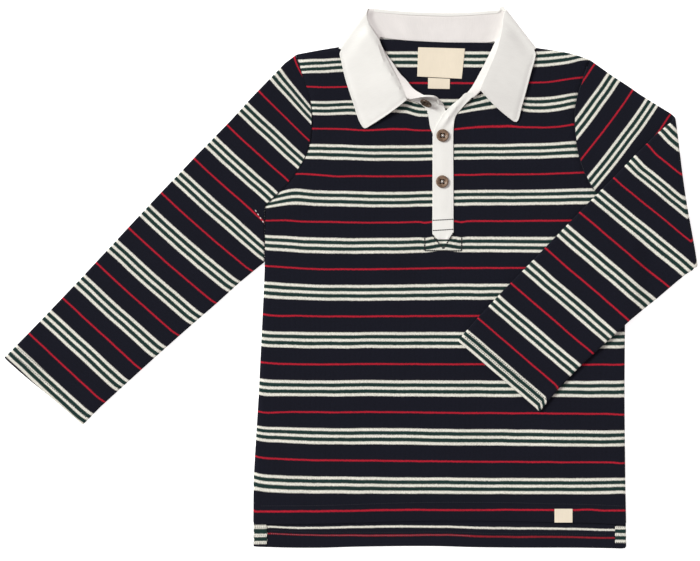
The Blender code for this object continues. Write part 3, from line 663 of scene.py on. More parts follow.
class Value:
    """A number that varies over a material, so that sums of its nodes read as sums."""

    def __init__(self, tree, socket):
        self.tree = tree
        self.socket = socket

    def work(self, operation, other=None):
        node = self.tree.nodes.new("ShaderNodeMath")
        node.operation = operation
        self.tree.links.new(self.socket, node.inputs[0])
        if isinstance(other, Value):
            self.tree.links.new(other.socket, node.inputs[1])
        elif other is not None:
            node.inputs[1].default_value = other
        return Value(self.tree, node.outputs[0])

    def __add__(self, other):
        return self.work("ADD", other)

    def __sub__(self, other):
        return self.work("SUBTRACT", other)

    def __mul__(self, other):
        return self.work("MULTIPLY", other)

    def waves(self, length):
        return (self * (2 * math.pi / length)).work("SINE")


def thread_place(tree):
    """The Grain map's two numbers: metres across the cloth, and the stripe phase or metres."""
    grain = tree.nodes.new("ShaderNodeUVMap")
    grain.uv_map = "Grain"
    parts = tree.nodes.new("ShaderNodeSeparateXYZ")
    tree.links.new(grain.outputs["UV"], parts.inputs[0])
    return Value(tree, parts.outputs["X"]), Value(tree, parts.outputs["Y"])


def noise(x, y, scale_x, scale_y, detail=2.0, roughness=0.6):
    tree = x.tree
    vector = tree.nodes.new("ShaderNodeCombineXYZ")
    tree.links.new((x * scale_x).socket, vector.inputs[0])
    tree.links.new((y * scale_y).socket, vector.inputs[1])
    made = tree.nodes.new("ShaderNodeTexNoise")
    made.noise_dimensions = "2D"
    put(made, {"Scale": 1.0, "Detail": detail, "Roughness": roughness})
    tree.links.new(vector.outputs[0], made.inputs["Vector"])
    return Value(tree, made.outputs["Fac"])


def solid_noise(tree, scale, detail=2.0, distortion=0.0):
    """Noise through the whole piece."""
    place = tree.nodes.new("ShaderNodeTexCoord")
    made = tree.nodes.new("ShaderNodeTexNoise")
    put(made, {"Scale": scale, "Detail": detail, "Distortion": distortion})
    tree.links.new(place.outputs["Object"], made.inputs["Vector"])
    return Value(tree, made.outputs["Fac"])


def bump(shader, height, strength, distance):
    made = height.tree.nodes.new("ShaderNodeBump")
    put(made, {"Strength": strength, "Distance": distance * MM})
    height.tree.links.new(height.socket, made.inputs["Height"])
    height.tree.links.new(made.outputs[0], shader.inputs["Normal"])


def paint(shader, colour, tone):
    """Gives the shader the colour times a brightness that varies."""
    made = tone.tree.nodes.new("ShaderNodeVectorMath")
    made.operation = "SCALE"
    if isinstance(colour, tuple):
        made.inputs[0].default_value = colour
    else:
        tone.tree.links.new(colour, made.inputs[0])
    tone.tree.links.new(tone.socket, made.inputs["Scale"])
    tone.tree.links.new(made.outputs[0], shader.inputs["Base Color"])


def ramp_of(factor, stops):
    """Colours that blend into each other at the stops' places."""
    made = factor.tree.nodes.new("ShaderNodeValToRGB")
    elements = made.color_ramp.elements
    while len(elements) < len(stops):
        elements.new(1.0)
    for element, (place, colour) in zip(elements, stops):
        element.position = min(place, 1.0)
        element.color = (*colour, 1.0)
    factor.tree.links.new(factor.socket, made.inputs["Fac"])
    return made.outputs["Color"]


WALE = 1.25             # width of one column of knit loops
COURSE = 1.05           # height of one row of them
TWILL_RIB = 0.7         # width of one rib of the twill
BAND_BLUR = 0.22        # half of the width over which two stripes blend


def knit(name, bands):
    """Cotton pique jersey with stripes.

    The bands are steps out from the middle of a repeat's group: the distance in millimetres
    where each ends, and its colour. The last one reaches the middle between two groups.
    """
    made, tree, shader = shader_of(name, 0.92, 0.03)
    across, phase = thread_place(tree)
    across *= 1000.0
    along = phase * PITCH
    wales = across.waves(WALE)
    ragged = (noise(across, along, 1.1, 0.25) - 0.5) * 0.9
    wander = (noise(across, along, 0.035, 0.02, 1.0) - 0.5) * 0.9
    stripes = (along + (wales * 0.32 + ragged + wander)).work("DIVIDE", PITCH)
    stops = []
    start = 0.0
    for end, colour in bands:
        stops += [((start + BAND_BLUR if start else 0.0) / (PITCH / 2), colour),
                  ((end - BAND_BLUR) / (PITCH / 2), colour)]
        start = end
    loops = wales * along.waves(COURSE)
    fuzz = noise(across, along, 0.8, 0.55, 3.0, 0.7)
    cloud = noise(across, along, 0.03, 0.03)
    paint(shader, ramp_of(stripes.work("PINGPONG", 0.5) * 2.0, stops),
          fuzz * 0.95 + 0.445 + cloud * 0.2 + loops * 0.2)
    bump(shader, loops * 0.5 + wales * 0.5 + fuzz * 1.2, 0.8, 0.24)
    return made


def twill(name, colour, tint=0.1):
    """White cotton twill: fine diagonal ribs, a little uneven."""
    made, tree, shader = shader_of(name, 0.85, 0.08)
    across, along = (part * 1000.0 for part in thread_place(tree))
    slubs = noise(across, along, 0.9, 0.12, 3.0)
    cloud = noise(across, along, 0.045, 0.03)
    paint(shader, colour, slubs * (tint * 0.6) + (1.0 - tint * 0.8) + cloud * tint)
    bump(shader, (across + along).waves(TWILL_RIB) * 0.4 + slubs, 0.35, 0.1)
    return made


def horn(name, shade=1.0):
    """Brown horn-like plastic with a swirled grain. A shade below 1 darkens its colours, as painted
    shade.
    """
    made, tree, shader = shader_of(name, 0.3)
    put(shader, {"Coat Weight": 0.3, "Coat Roughness": 0.15})
    stops = [(place, [part * shade for part in colour])
             for place, colour in ((0.3, HORN_DARK), (0.72, HORN_LIGHT))]
    swirl = ramp_of(solid_noise(tree, 380.0, 3.0, 1.2), stops)
    tree.links.new(swirl, shader.inputs["Base Color"])
    return made


def thread(name, colour):
    made, tree, shader = shader_of(name, 0.8, 0.1)
    paint(shader, colour, solid_noise(tree, 2500.0) * 0.6 + 0.7)
    return made


STRIPES = knit("striped_jersey", (
    (GROUP[0], CREAM), (GROUP[1], GREEN), (GROUP[2], CREAM),
    ((PITCH - LINE) / 2, NAVY), (PITCH / 2 + 1.0, RED)))
HEM_LINE_MIDDLE, HEM_LINE_HALF = 8.0, 0.75
HEM_STRIPES = knit("hem_jersey", (
    (0.97, CREAM), (HEM_LINE_MIDDLE - HEM_LINE_HALF, NAVY),
    (HEM_LINE_MIDDLE + HEM_LINE_HALF, HEM_RED), (PITCH / 2 + 1.0, NAVY)))
COLLAR_TWILL = twill("collar_twill", WHITE)
STAND_TWILL = twill("stand_twill", (0.83, 0.80, 0.775), 0.14)
LABEL_TAPE = twill("label_tape", LABEL, 0.12)
HORN = horn("horn")
# a darker copy of the horn: painted shade for the open top button, which lies in shade
SHADED_HORN = horn("shaded_horn", 0.4)
THREAD_WHITE_COTTON = thread("white_thread", THREAD_WHITE)


# Where the layers lie

def neck_lift(x, y, reach=BACK_REACH):
    beside = max(SHOULDER_TURN_RIGHT[1][0] - x, x - SHOULDER_TURN_LEFT[1][0], 0.0)
    below = max(FALL_HEM[3][1] - y, 0.0)
    return NECK_LIFT * (1.0 - smooth((math.hypot(beside, below) - reach) / LIFT_RUN))


def front_loft(x, y):
    right, left = SIDE_RIGHT[1][0], SIDE_LEFT[1][0]
    hem, chest = FRONT_HEM[0][1], SLIT_RIGHT_EDGE[4][1]
    sides = between(x, ((right, LOFT_RUN), (left, LOFT_RUN)))
    ends = between(y, ((hem, LOFT_RUN), (chest, LOFT_RUN)))
    waves = 0.85 + 0.15 * math.cos(x / LOFT_WAVES[0] + y / LOFT_WAVES[1])
    return FRONT_LOFT * sides * ends * waves


PUCKERS = tuple((90.9 + side * (2.6 + 2.4 * k), 29.4 + 0.3 * k, 90.9 + side * (5.4 + 4.0 * k),
                 45.0 - 1.4 * k, 0.85, 0.9) for side in (-1, 1) for k in range(4))
CREASES = PUCKERS + (
    # start_x, start_y, end_x, end_y, width, height: soft ridges, and troughs where negative
    (-78.0, 60.0, -30.0, 96.0, 9.0, 0.5),
    (-84.0, 40.0, -20.0, 62.0, 12.0, -0.45),
    (-70.0, 10.0, 10.0, 22.0, 16.0, 0.35),
    (262.0, 58.0, 205.0, 92.0, 10.0, 0.45),
    (240.0, 44.0, 180.0, 66.0, 13.0, -0.4),
    (104.0, 36.0, 176.0, 8.0, 11.0, 0.5),
    (112.0, 52.0, 196.0, 40.0, 12.0, -0.35),
    (78.0, 32.0, 18.0, 8.0, 12.0, 0.4),
    (-10.0, 150.0, 50.0, 120.0, 14.0, 0.3),
    (138.0, 140.0, 200.0, 160.0, 15.0, 0.3),
    (-92.0, -60.0, -30.0, -48.0, 12.0, 0.35),
    (-94.0, -150.0, -12.0, -166.0, 14.0, -0.35),
    (40.0, -90.0, 110.0, -150.0, 20.0, 0.3),
    (150.0, -140.0, 262.0, -170.0, 15.0, 0.35),
    (270.0, -60.0, 215.0, -84.0, 12.0, 0.3),
    (0.0, -196.0, 120.0, -206.0, 16.0, 0.3),
    (130.0, -214.0, 255.0, -200.0, 14.0, -0.3),
    (-30.0, 210.0, -46.0, 150.0, 9.0, 0.35),
    (214.0, 214.0, 212.0, 150.0, 9.0, 0.35),
)
CREASE_ENDS = ((-0.1, 0.45), (1.1, 0.45))       # shares of its length over which a crease fades
PLACKET_CREASES = (
    (86.0, 149.0, 112.5, 181.0, 2.0, 1.3),
    (91.5, 148.0, 117.5, 180.0, 2.6, -0.6),
    (97.0, 150.0, 122.0, 182.0, 2.0, 0.7),
    (90.6, 52.0, 90.0, 150.0, 5.5, 0.25),
)


def relief(x, y, creases):
    """Height of the soft creases at a place."""
    total = 0.0
    for ax, ay, bx, by, width, height in creases:
        run_x, run_y = bx - ax, by - ay
        length = run_x * run_x + run_y * run_y
        share = ((x - ax) * run_x + (y - ay) * run_y) / length
        if not CREASE_ENDS[0][0] < share < CREASE_ENDS[1][0]:
            continue
        off = ((x - ax) * run_y - (y - ay) * run_x) / math.sqrt(length)
        bent = off + 0.4 * min(width, 10.0) * math.sin(share * 5.0 + ax)
        total += height * between(share, CREASE_ENDS) * math.exp(-(bent / width) ** 2)
    return total


def lay_back(x, y, height):
    return x, y, neck_lift(x, y) + height


def front_height(x, y):
    edge, run, rise = HEM_FOLD
    return (FRONT_Z + neck_lift(x, y, FRONT_REACH) + front_loft(x, y)
            + relief(x, y, CREASES) + rise * smooth((edge - y) / run))


def lay_front(x, y, height):
    return x, y, front_height(x, y) + height


def lay_on_back(x, y, height):
    return lay_back(x, y, JERSEY + GAP + height)


def lay_on_front(x, y, height):
    return lay_front(x, y, JERSEY + GAP + height)


RIM_XS, RIM_YS = zip(*RIM)


def lay_placket_under(x, y, height):
    """Its top end slopes up to a rolled rim, which it shares with the stand."""
    foot = RIM_FOOT[1] + RIM_FOOT[2] * (x - RIM_FOOT[0])
    edge = float(np.interp(x, RIM_XS, RIM_YS)) + RIM_BACK
    ends = between(x, RIM_ENDS)
    floor = RIM_FLOOR * min(max((y - foot) / max(edge - foot, 2.0), 0.0), 1.0)
    past = (y - edge) / RIM_STEP
    step = smooth(0.5 + past / 2.0)
    x, y, z = lay_front(x, y, height + RIM_HEIGHT * ends * (floor + (1.0 - floor) * step))
    return x, y - RIM_ROLL * ends * past * math.exp((1.0 - past * past) / 2.0), z


def lay_placket_over(x, y, height):
    """Its top end lies on the stand's, with creases that run up to it."""
    start, run, rise = OVER_TIP
    rise *= smooth((x + y - start) / run)
    return lay_front(x, y, TWILL + GAP + rise + relief(x, y, PLACKET_CREASES) + height)


# Stripe phases

def through(stations, values, place):
    """A smooth curve through values at stations."""
    stations, values = np.asarray(stations, float), np.asarray(values, float)
    slopes = np.gradient(values, stations)
    place = min(max(place, stations[0]), stations[-1])
    i = min(int(np.searchsorted(stations, place, "right")) - 1, len(stations) - 2)
    step = stations[i + 1] - stations[i]
    return hermite(values[i], values[i + 1], step * slopes[i], step * slopes[i + 1],
                   (place - stations[i]) / step)


def counted(distances, place, first=1):
    """The stripe phase at a place, from the groups' distances, and beyond them at their pitch."""
    last = len(distances) - 1
    if place <= distances[0]:
        return first + (place - distances[0]) / (distances[1] - distances[0])
    if place >= distances[last]:
        return first + last + (place - distances[last]) / (distances[last] - distances[last - 1])
    return first + float(np.interp(place, distances, range(last + 1)))


# Beside the placket's top the front's stripes are pulled down by this much, at stations across it
PULL_STATIONS = (13.5, 27.5, 40.5, 54.5, 62.5, 67.5, 75.5, 92.0, 105.5, 118.5, 132.5, 144.5, 154.5,
                 159.5, 167.5, 173.5)
PULL = (0.0, -2.0, -2.9, -1.6, 1.3, 2.4, 2.8, 2.8, 0.25, -1.8, -3.4, -3.8, -4.0, -3.0, -0.8, 0.0)
PULL_FROM, PULL_RUN = 138.0, 24.0
PULL_FAN = (125.0, 20.0, 164.0, 17.0, 0.0125)    # about where, how wide, from what height, how far
PULL_FAN_ENDS = ((100.0, 5.0), (173.5, 20.0))
PULLS = (
    # x, y, reach across, reach along, how far down
    (-56.0, 213.0, 14.0, 14.0, 2.2), (-10.0, 213.0, 18.0, 16.0, -2.2),
    (-4.0, 170.0, 20.0, 16.0, -1.4), (-24.0, 149.0, 26.0, 10.0, -1.4),
    (232.0, 216.0, 12.0, 12.0, -2.6), (224.0, 170.0, 12.0, 20.0, -2.2),
    (167.0, 168.0, 10.0, 14.0, -1.9), (194.0, 198.0, 12.0, 12.0, 1.0),
    (178.0, 150.0, 12.0, 10.0, -0.9), (-60.0, 96.0, 18.0, 20.0, -3.2),
    (-56.0, 76.0, 20.0, 12.0, -1.2), (-12.0, 103.0, 14.0, 12.0, 1.4),
    (-70.0, 57.0, 16.0, 12.0, -0.8), (-92.0, -133.0, 22.0, 16.0, 2.3),
    (-76.0, -38.0, 14.0, 14.0, 0.9), (272.0, -133.0, 10.0, 16.0, 1.4),
    (270.0, -184.0, 8.0, 14.0, 1.6), (45.0, -232.0, 40.0, 12.0, -0.8),
    (-56.0, 150.0, 8.0, 8.0, 0.9), (236.0, -233.0, 10.0, 10.0, -1.0),
    # under the placket's point, and beside it
    (90.6, 32.0, 11.0, 12.0, -2.6), (73.0, 50.0, 4.0, 16.0, 1.3), (108.6, 50.0, 4.0, 16.0, 1.3),
)
COLUMN_STEP = 4.0
FRONT_COLUMNS = np.arange(-100.0, 280.1, COLUMN_STEP)
FRONT_ROWS = np.array([[through(FRONT_STATIONS, row, x) for x in FRONT_COLUMNS]
                       for row in FRONT_GROUPS])


def pulled(x, y):
    fan_x, fan_reach, fan_y, fan_run, fan_turn = PULL_FAN
    fan = min(max(y - fan_y, 0.0), fan_run) * min(max(fan_x - x, -fan_reach), fan_reach) * fan_turn
    total = float(np.interp(x, PULL_STATIONS, PULL)) + fan * between(x, PULL_FAN_ENDS)
    total *= smooth((y - PULL_FROM) / PULL_RUN)
    for at_x, at_y, across, along, amount in PULLS:
        total += amount * math.exp(-((x - at_x) / across) ** 2 - ((y - at_y) / along) ** 2)
    return total


def front_grain(x, y):
    y += pulled(x, y)
    rise, run = SIDE_RISE
    sides = math.exp((SIDE_RIGHT[2][0] - x) / run) \
        + LEFT_SIDE_SHARE * math.exp((x - SIDE_LEFT[1][0]) / run)
    y -= rise * sides * between(y, SIDE_SPAN)
    dip, run = ARMHOLE_DIP
    foot, top, top_run = ARMHOLE_SPAN
    if y > foot:
        near = away([(x, y)], ARMHOLE_RIGHT)[0]
        y += dip * math.exp(-near / run) * smooth((top - y) / top_run)
    inside = min(max(x, FRONT_COLUMNS[0] + 0.1), FRONT_COLUMNS[-1] - 0.1)
    place = (inside - FRONT_COLUMNS[0]) / COLUMN_STEP
    i = int(place)
    t = place - i
    heights = FRONT_ROWS[:, i] * (1 - t) + FRONT_ROWS[:, i + 1] * t
    return x * MM, counted(-heights, -y, 0)


def back_grain(x, y):
    return x * MM, (BACK_FIRST_GROUP - y) / PITCH


def along_line(line, x, y):
    """How far along the line a point is, and how far to its right as seen from above."""
    (ox, oy), (dx, dy) = line
    return (x - ox) * dx + (y - oy) * dy, (x - ox) * dy - (y - oy) * dx


EDGE_BEND = (1.6, 12.0)         # stripes bend back this far within this distance of the edge
CUFF_BEND = (4.2, 5.0, -104.0, 16.0)    # and below this height, over this run, at the left cuff
CAP_BOW = (0.66, 6.0, 60.0, 18.0)       # the right sleeve's first stripes fan out by this slope,
                                        # from and to this far across, and over what length
SEAM_OFF = 5.0                  # the left sleeve's stripes are measured from this far across
FORE_FAN = (2.0, 42.0, 45.0, 18.0, 45.0)        # the forearm's first stripes curve: how far, where,
                                        # over what length, and from and to which edge
RIGHT_UNDER = [row[2:4] for row in SLEEVE_RIGHT_SECTIONS[5:]]
FORE_UNDER = [row[2:4] for row in FOREARM_SECTIONS]
FORE_OUTER = [row[:2] for row in FOREARM_SECTIONS]
# How far the stripes of a sleeve lie back from straight ones: places across it, and then a row
# for each place along it
RIGHT_SHIFT = ((30.0, 60.0, 75.0, 85.0, 95.0, 105.0, 115.0), (
    (60.0, (0.0, -0.2, -0.2, 0.0, 0.3, -0.4, -1.0)),
    (100.0, (-0.1, 0.5, 1.2, 1.2, 1.0, 0.6, 0.4)),
    (145.0, (0.1, 0.9, 1.1, 1.2, 1.1, 1.1, 1.2)),
    (192.0, (0.1, 0.8, 1.3, 2.0, 2.6, 3.3, 3.8)),
    (240.0, (0.1, 0.8, 1.6, 2.1, 2.5, 3.0, 3.2)),
    (288.0, (0.3, 0.9, 1.4, 1.4, 1.8, 1.9, 1.9)),
    (336.0, (0.0, 0.4, 0.4, 0.5, 0.4, -0.2, -0.2)),
    (386.0, (0.0,) * 7)))
FORE_SHIFT = ((5.0, 20.0, 35.0, 50.0, 65.0, 80.0, 90.0, 100.0), (
    (41.0, (0.3, 0.5, 0.7, 0.7, 0.7, 0.7, 0.7, 0.7)),
    (86.0, (-0.4, 0.3, 0.5, 1.1, 1.4, 1.4, 1.6, 1.6)),
    (134.0, (-0.5, -0.5, -0.4, -0.4, -0.4, 0.0, 0.5, 1.1)),
    (183.0, (-0.6, -1.1, -0.7, -0.6, -0.6, -1.0, -1.3, -1.3)),
    (232.0, (-0.5, -0.4, -0.7, -0.5, -1.0, -1.0, -0.5, -0.5)),
    (280.0, (-0.8, -1.0, -0.6, -0.9, -1.1, -1.0, -0.9, -0.9)),
    (312.0, (0.0,) * 8)))


def shifted(table, along, off):
    places, rows = table
    return float(np.interp(along, [row[0] for row in rows],
                           [np.interp(off, places, row[1]) for row in rows]))


def right_grain(x, y):
    along, off = along_line(RIGHT_LINE, x, y)
    off = -off
    along += shifted(RIGHT_SHIFT, along, off)
    bend, run = EDGE_BEND
    along += bend * nearness(x, y, RIGHT_UNDER, run) ** 2
    slope, start, end, run = CAP_BOW
    cap = slope * (min(max(off, 0.0), end) - start) * math.exp(-max(along, 0.0) / run)
    return off * MM, counted(RIGHT_GROUPS, along + RIGHT_LEAN * (off - start) - cap)


def upper_grain(x, y):
    along, off = along_line(UPPER_LINE, x, y)
    off -= SEAM_OFF
    lean = UPPER_LEAN * off + UPPER_BEND * off * abs(off)
    return off * MM, counted(UPPER_GROUPS, along + lean)


def fore_grain(x, y):
    along, off = along_line(FORE_LINE, x, y)
    off = -off - SEAM_OFF
    along += shifted(FORE_SHIFT, along, off)
    bend, run, top, top_run = CUFF_BEND
    along -= bend * nearness(x, y, FORE_UNDER, run) * smooth((top - y) / top_run)
    bend, middle, run, start, end = FORE_FAN
    inside = away([(x, y)], FORE_OUTER)[0]
    along -= bend * math.exp(-((along - middle) / run) ** 2 - (inside / end) ** 2) \
        * smooth(inside / start)
    return -off * MM, counted(FORE_GROUPS, along + FORE_LEAN * off, FORE_FIRST)


def twill_grain(x, y):
    return x * MM, y * MM


# Pieces

def outlines():
    """The smooth stretches of the body's outline."""
    step = 4.0
    armhole_right = curved(ARMHOLE_RIGHT, step)
    armhole_left = curved(ARMHOLE_LEFT, step)
    side_right = curved((ARMHOLE_RIGHT[-1],) + SIDE_RIGHT, step)
    side_left = curved(SIDE_LEFT + (ARMHOLE_LEFT[-1],), step)
    start = curved(SHOULDER_RIGHT, step) + armhole_right[1:] + side_right[1:]
    end = side_left + armhole_left[::-1][1:] + curved(SHOULDER_LEFT, step)[::-1][1:]
    return start, end, armhole_right, armhole_left, side_right, side_left


# How far the cloth sinks along a line, and over what distance beside it
ARMHOLE_SINK = (0.9, 3.5)
SIDE_SINK = (0.7, 3.0)
SHOULDER_SINK = (0.8, 3.0)
EDGE_SINK = (0.5, 2.0)
HEM_ROW_SINK = (0.3, 1.5)
COLLAR_ROW_SINK = (0.35, 1.0)


def body():
    step = 4.0
    start, end, armhole_right, armhole_left, side_right, side_left = outlines()
    back = start + curved(BACK_HEM, step) + end + curved(BACK_NECKLINE, step)[::-1]
    sinks = ((armhole_right, *ARMHOLE_SINK), (armhole_left, *ARMHOLE_SINK))
    cloth("back_jersey", "back_body", back, 6.0, JERSEY, lay_back, back_grain,
          STRIPES, sinks=sinks)
    slit_right = curved(SLIT_RIGHT_EDGE[:6], step) + divided(SLIT_RIGHT_EDGE[5:], step)[1:]
    slit_left = divided(SLIT_LEFT_EDGE[:2], step) + curved(SLIT_LEFT_EDGE[1:], step)[1:]
    front = start + curved(FRONT_HEM, step) + end + curved(FRONT_NECK_LEFT, step)[::-1]
    front += slit_left[::-1] + slit_right[::-1] + curved(FRONT_NECK_RIGHT, step)[::-1]
    hem_line = [(x, y + FRONT_HEM_DEPTH + 0.2) for x, y in curved(FRONT_HEM, 20.0)]
    sinks += ((side_right, *SIDE_SINK), (side_left, *SIDE_SINK),
              (curved(SHOULDER_RIGHT, step), *SHOULDER_SINK),
              (curved(SHOULDER_LEFT, step), *SHOULDER_SINK),
              (curved(FRONT_HEM, step), *EDGE_SINK), (hem_line, *HEM_ROW_SINK))
    creases = []
    for ax, ay, bx, by, width, _ in PUCKERS:
        for off in (-width, 0.0, width):
            creases.append(divided(((ax + off, ay), (bx + off, by)), 1.2))
    cloth("front_jersey", "front_body", front, 4.0, JERSEY, lay_front, front_grain,
          STRIPES, creases, sinks)


def stations_across(length, spacing, edge):
    """Shares of a section's length: close together at both rounded edges, even between."""
    near = [0.0, 0.06 * edge, 0.25 * edge, 0.6 * edge, edge, 1.8 * edge]
    steps = max(2, round((length - 3.6 * edge) / spacing))
    inner = [1.8 * edge + (length - 3.6 * edge) * step / steps for step in range(1, steps)]
    return [t / length for t in near + inner + [length - t for t in reversed(near)]]


def sleeve_sections(armhole, rows, outward):
    """The armhole's own curve, and then each section of the table."""
    chord = (armhole[0], armhole[-1])
    length = length_of(armhole)
    shares = [0.0]
    for a, b in zip(armhole, armhole[1:]):
        shares.append(shares[-1] + math.dist(a, b) / length)
    bows = [tuple(p - q for p, q in zip(point, mix(*chord, share)))
            for point, share in zip(armhole, shares)]
    sections = [moved_out(armhole, outward * GAP)]
    for outer_x, outer_y, under_x, under_y, bow in rows:
        sections.append([
            tuple(p + bow ** (1.0 + 3.0 * share) * q for p, q in
                  zip(mix((outer_x, outer_y), (under_x, under_y), share), offset))
            for share, offset in zip(shares, bows)])
    return sections


SLEEVE_WALL = 0.9
SLEEVE_EDGE = 2.2       # the long edges are rounded over this width


def tube(name, node, sections, place, grain, swell):
    """A flattened tube of jersey through its sections, open at both ends."""
    spacing = 4.5
    width = max(length_of(section) for section in sections)
    shares = stations_across(width, spacing, SLEEVE_EDGE)
    even = [[point_along(section, share) for share in shares] for section in sections]
    rows = [even[0]]
    for before, after in zip(even, even[1:]):
        run = max(math.dist(a, b) for a, b in ((before[0], after[0]), (before[-1], after[-1])))
        steps = max(1, round(run / spacing))
        for step in range(1, steps + 1):
            rows.append([mix(a, b, step / steps) for a, b in zip(before, after)])
    half, last = SLEEVE_LOFT / 2, len(shares) - 1
    order = [(i, False) for i in range(last + 1)] + [(i, True) for i in range(last - 1, 0, -1)]
    rings, flat = [], []
    for wall, side in ((0.0, rows), (SLEEVE_WALL, rows[::-1])):
        for row in side:
            length = length_of(row)
            rings.append([])
            for i, upper in order:
                edge = min(shares[i], 1 - shares[i]) * length
                open_up = math.sqrt(max(0.0, 1 - (1 - min(edge / SLEEVE_EDGE, 1)) ** 2))
                reach = (half - wall) * open_up
                x, y = row[i]
                if wall and edge < SLEEVE_EDGE:
                    middle = row[len(shares) // 2]
                    pull = wall * (1 - edge / SLEEVE_EDGE)
                    x, y = mix(row[i], middle, pull / math.dist(row[i], middle))
                z = half + reach + swell(*row[i]) * open_up if upper else half - reach
                rings[-1].append(place(x, y, z))
                flat.append(row[i])
    points, faces = [], []
    skin(rings, points, faces, closed=True)
    piece = add_mesh(name, points, faces, STRIPES, [grain(x, y) for x, y in flat])
    surface = sum(2 * abs(area(before + after[::-1])) for before, after in zip(even, even[1:]))
    length = length_of([section[0] for section in sections])
    declare(piece, node,
            surface * MM * MM)


RIGHT_CREASES = (
    # start_x, start_y, end_x, end_y, width, height
    (-96.0, 10.0, -150.0, 66.0, 8.0, 0.5),
    (-92.0, 34.0, -140.0, 96.0, 9.0, -0.4),
    (-62.0, 205.0, -52.0, 150.0, 7.0, 0.4),
    (-180.0, -40.0, -215.0, 30.0, 10.0, 0.4),
    (-200.0, 40.0, -232.0, -20.0, 9.0, -0.35),
    (-240.0, -60.0, -262.0, 0.0, 9.0, 0.35),
    (-300.0, -50.0, -270.0, -100.0, 9.0, 0.3),
    (-120.0, 150.0, -108.0, 90.0, 11.0, 0.35),
)
LEFT_CREASES = (
    (252.0, 196.0, 236.0, 130.0, 8.0, 0.4),
    (300.0, 150.0, 270.0, 90.0, 10.0, 0.4),
    (325.0, 60.0, 290.0, 30.0, 8.0, 0.5),
    (335.0, 110.0, 296.0, 70.0, 9.0, 0.35),
    (270.0, 60.0, 300.0, 0.0, 9.0, 0.35),
    (232.0, 40.0, 262.0, -30.0, 9.0, -0.3),
    (180.0, -10.0, 216.0, -60.0, 10.0, 0.35),
    (150.0, -40.0, 196.0, -90.0, 9.0, 0.3),
)
CREASED = (5.0, 1.5)        # only cloth above this height is creased, over this run


def sleeves():
    step = 5.0
    sections = sleeve_sections(curved(ARMHOLE_RIGHT, step), SLEEVE_RIGHT_SECTIONS, -1)
    cuff = sections[-1]
    bulge = [through(CUFF_SHARES, CUFF_BULGE, index / (len(cuff) - 1)) for index in range(len(cuff))]
    sections[-1] = [(x + out * RIGHT_LINE[1][0], y + out * RIGHT_LINE[1][1])
                    for (x, y), out in zip(cuff, bulge)]
    tube("right_sleeve_jersey", "sleeve_right", sections, lambda x, y, z: (x, y, z),
         right_grain, lambda x, y: relief(x, y, RIGHT_CREASES))

    elbow = Fold(ELBOW_TURN, SLEEVE_LOFT + ELBOW_INNER, SLEEVE_LOFT, -1)
    sections = sleeve_sections(curved(ARMHOLE_LEFT, step), UPPER_ARM_SECTIONS, 1)
    upper_end = sections[-1]
    forearm = sleeve_sections(curved(ARMHOLE_LEFT, step), FOREARM_SECTIONS, 1)[1:]
    for turn in range(1, ELBOW_STEPS + 1):
        share = turn / ELBOW_STEPS
        shift = elbow.out * elbow.turn * share
        sections.append([(x + shift.x, y + shift.y) for x, y in
                         (mix(a, b, share) for a, b in zip(upper_end, forearm[0]))])
    for section in forearm[1:]:
        sections.append([elbow.flat(x, y) for x, y in section])
    under_edge = Fold((UPPER_ARM_SECTIONS[1][2:4], UPPER_ARM_SECTIONS[-1][2:4]), 0.0, 0.0, 1)
    fold_length = math.dist(*ELBOW_TURN)

    def bowed(x, y, height):
        """Bends the fold's straight line in a little at its middle."""
        along = ((x - ELBOW_TURN[0][0]) * elbow.along.x
                 + (y - ELBOW_TURN[0][1]) * elbow.along.y) / fold_length
        if 0.0 < along < 1.0:
            near = smooth(1.0 + elbow.beyond(x, y) / ELBOW_HOLLOW[1])
            bend = ELBOW_HOLLOW[0] * math.sin(math.pi * along) ** 2 * near
            x, y = x - elbow.out.x * bend, y - elbow.out.y * bend
        return x, y, height

    def lay_sleeve(x, y, height):
        folded = elbow.place(x, y, height)
        if folded is None:
            return bowed(x, y, height)
        x, y, height = folded
        past_body = smooth((x - SIDE_LEFT[0][0] - DROP_START) / DROP_RUN)
        past_arm = smooth((under_edge.beyond(x, y) - DROP_START) / DROP_RUN)
        height += relief(x, y, LEFT_CREASES) * smooth((height - CREASED[0]) / CREASED[1])
        return bowed(x, y, height - FOREARM_DROP * past_body * past_arm)

    def left_grain(x, y):
        over = elbow.beyond(x, y)
        if over <= 0.0:
            return upper_grain(x, y)
        fx, fy, _ = elbow.place(x, y, 0.0)
        across, phase = fore_grain(fx, fy)
        if over < elbow.turn:
            share = over / elbow.turn
            before = upper_grain(x, y)[1]
            return across, before + (phase - before) * share
        return across, phase

    tube("left_sleeve_jersey", "sleeve_left", sections, lay_sleeve, left_grain,
         lambda x, y: 0.0)


STRIP_ACROSS = [0.03 * part for part in range(17)] + [0.55, 0.7, 0.85, 0.96, 1.0]
STRIP_THICKNESS = (
    # share of the way across, share of the wall
    (0.0, 0.5), (0.03, 1.2), (0.09, 1.5), (0.23, 1.35), (0.4, 1.2), (0.7, 1.0), (0.85, 0.96),
    (0.96, 0.75), (1.0, 0.55),
)


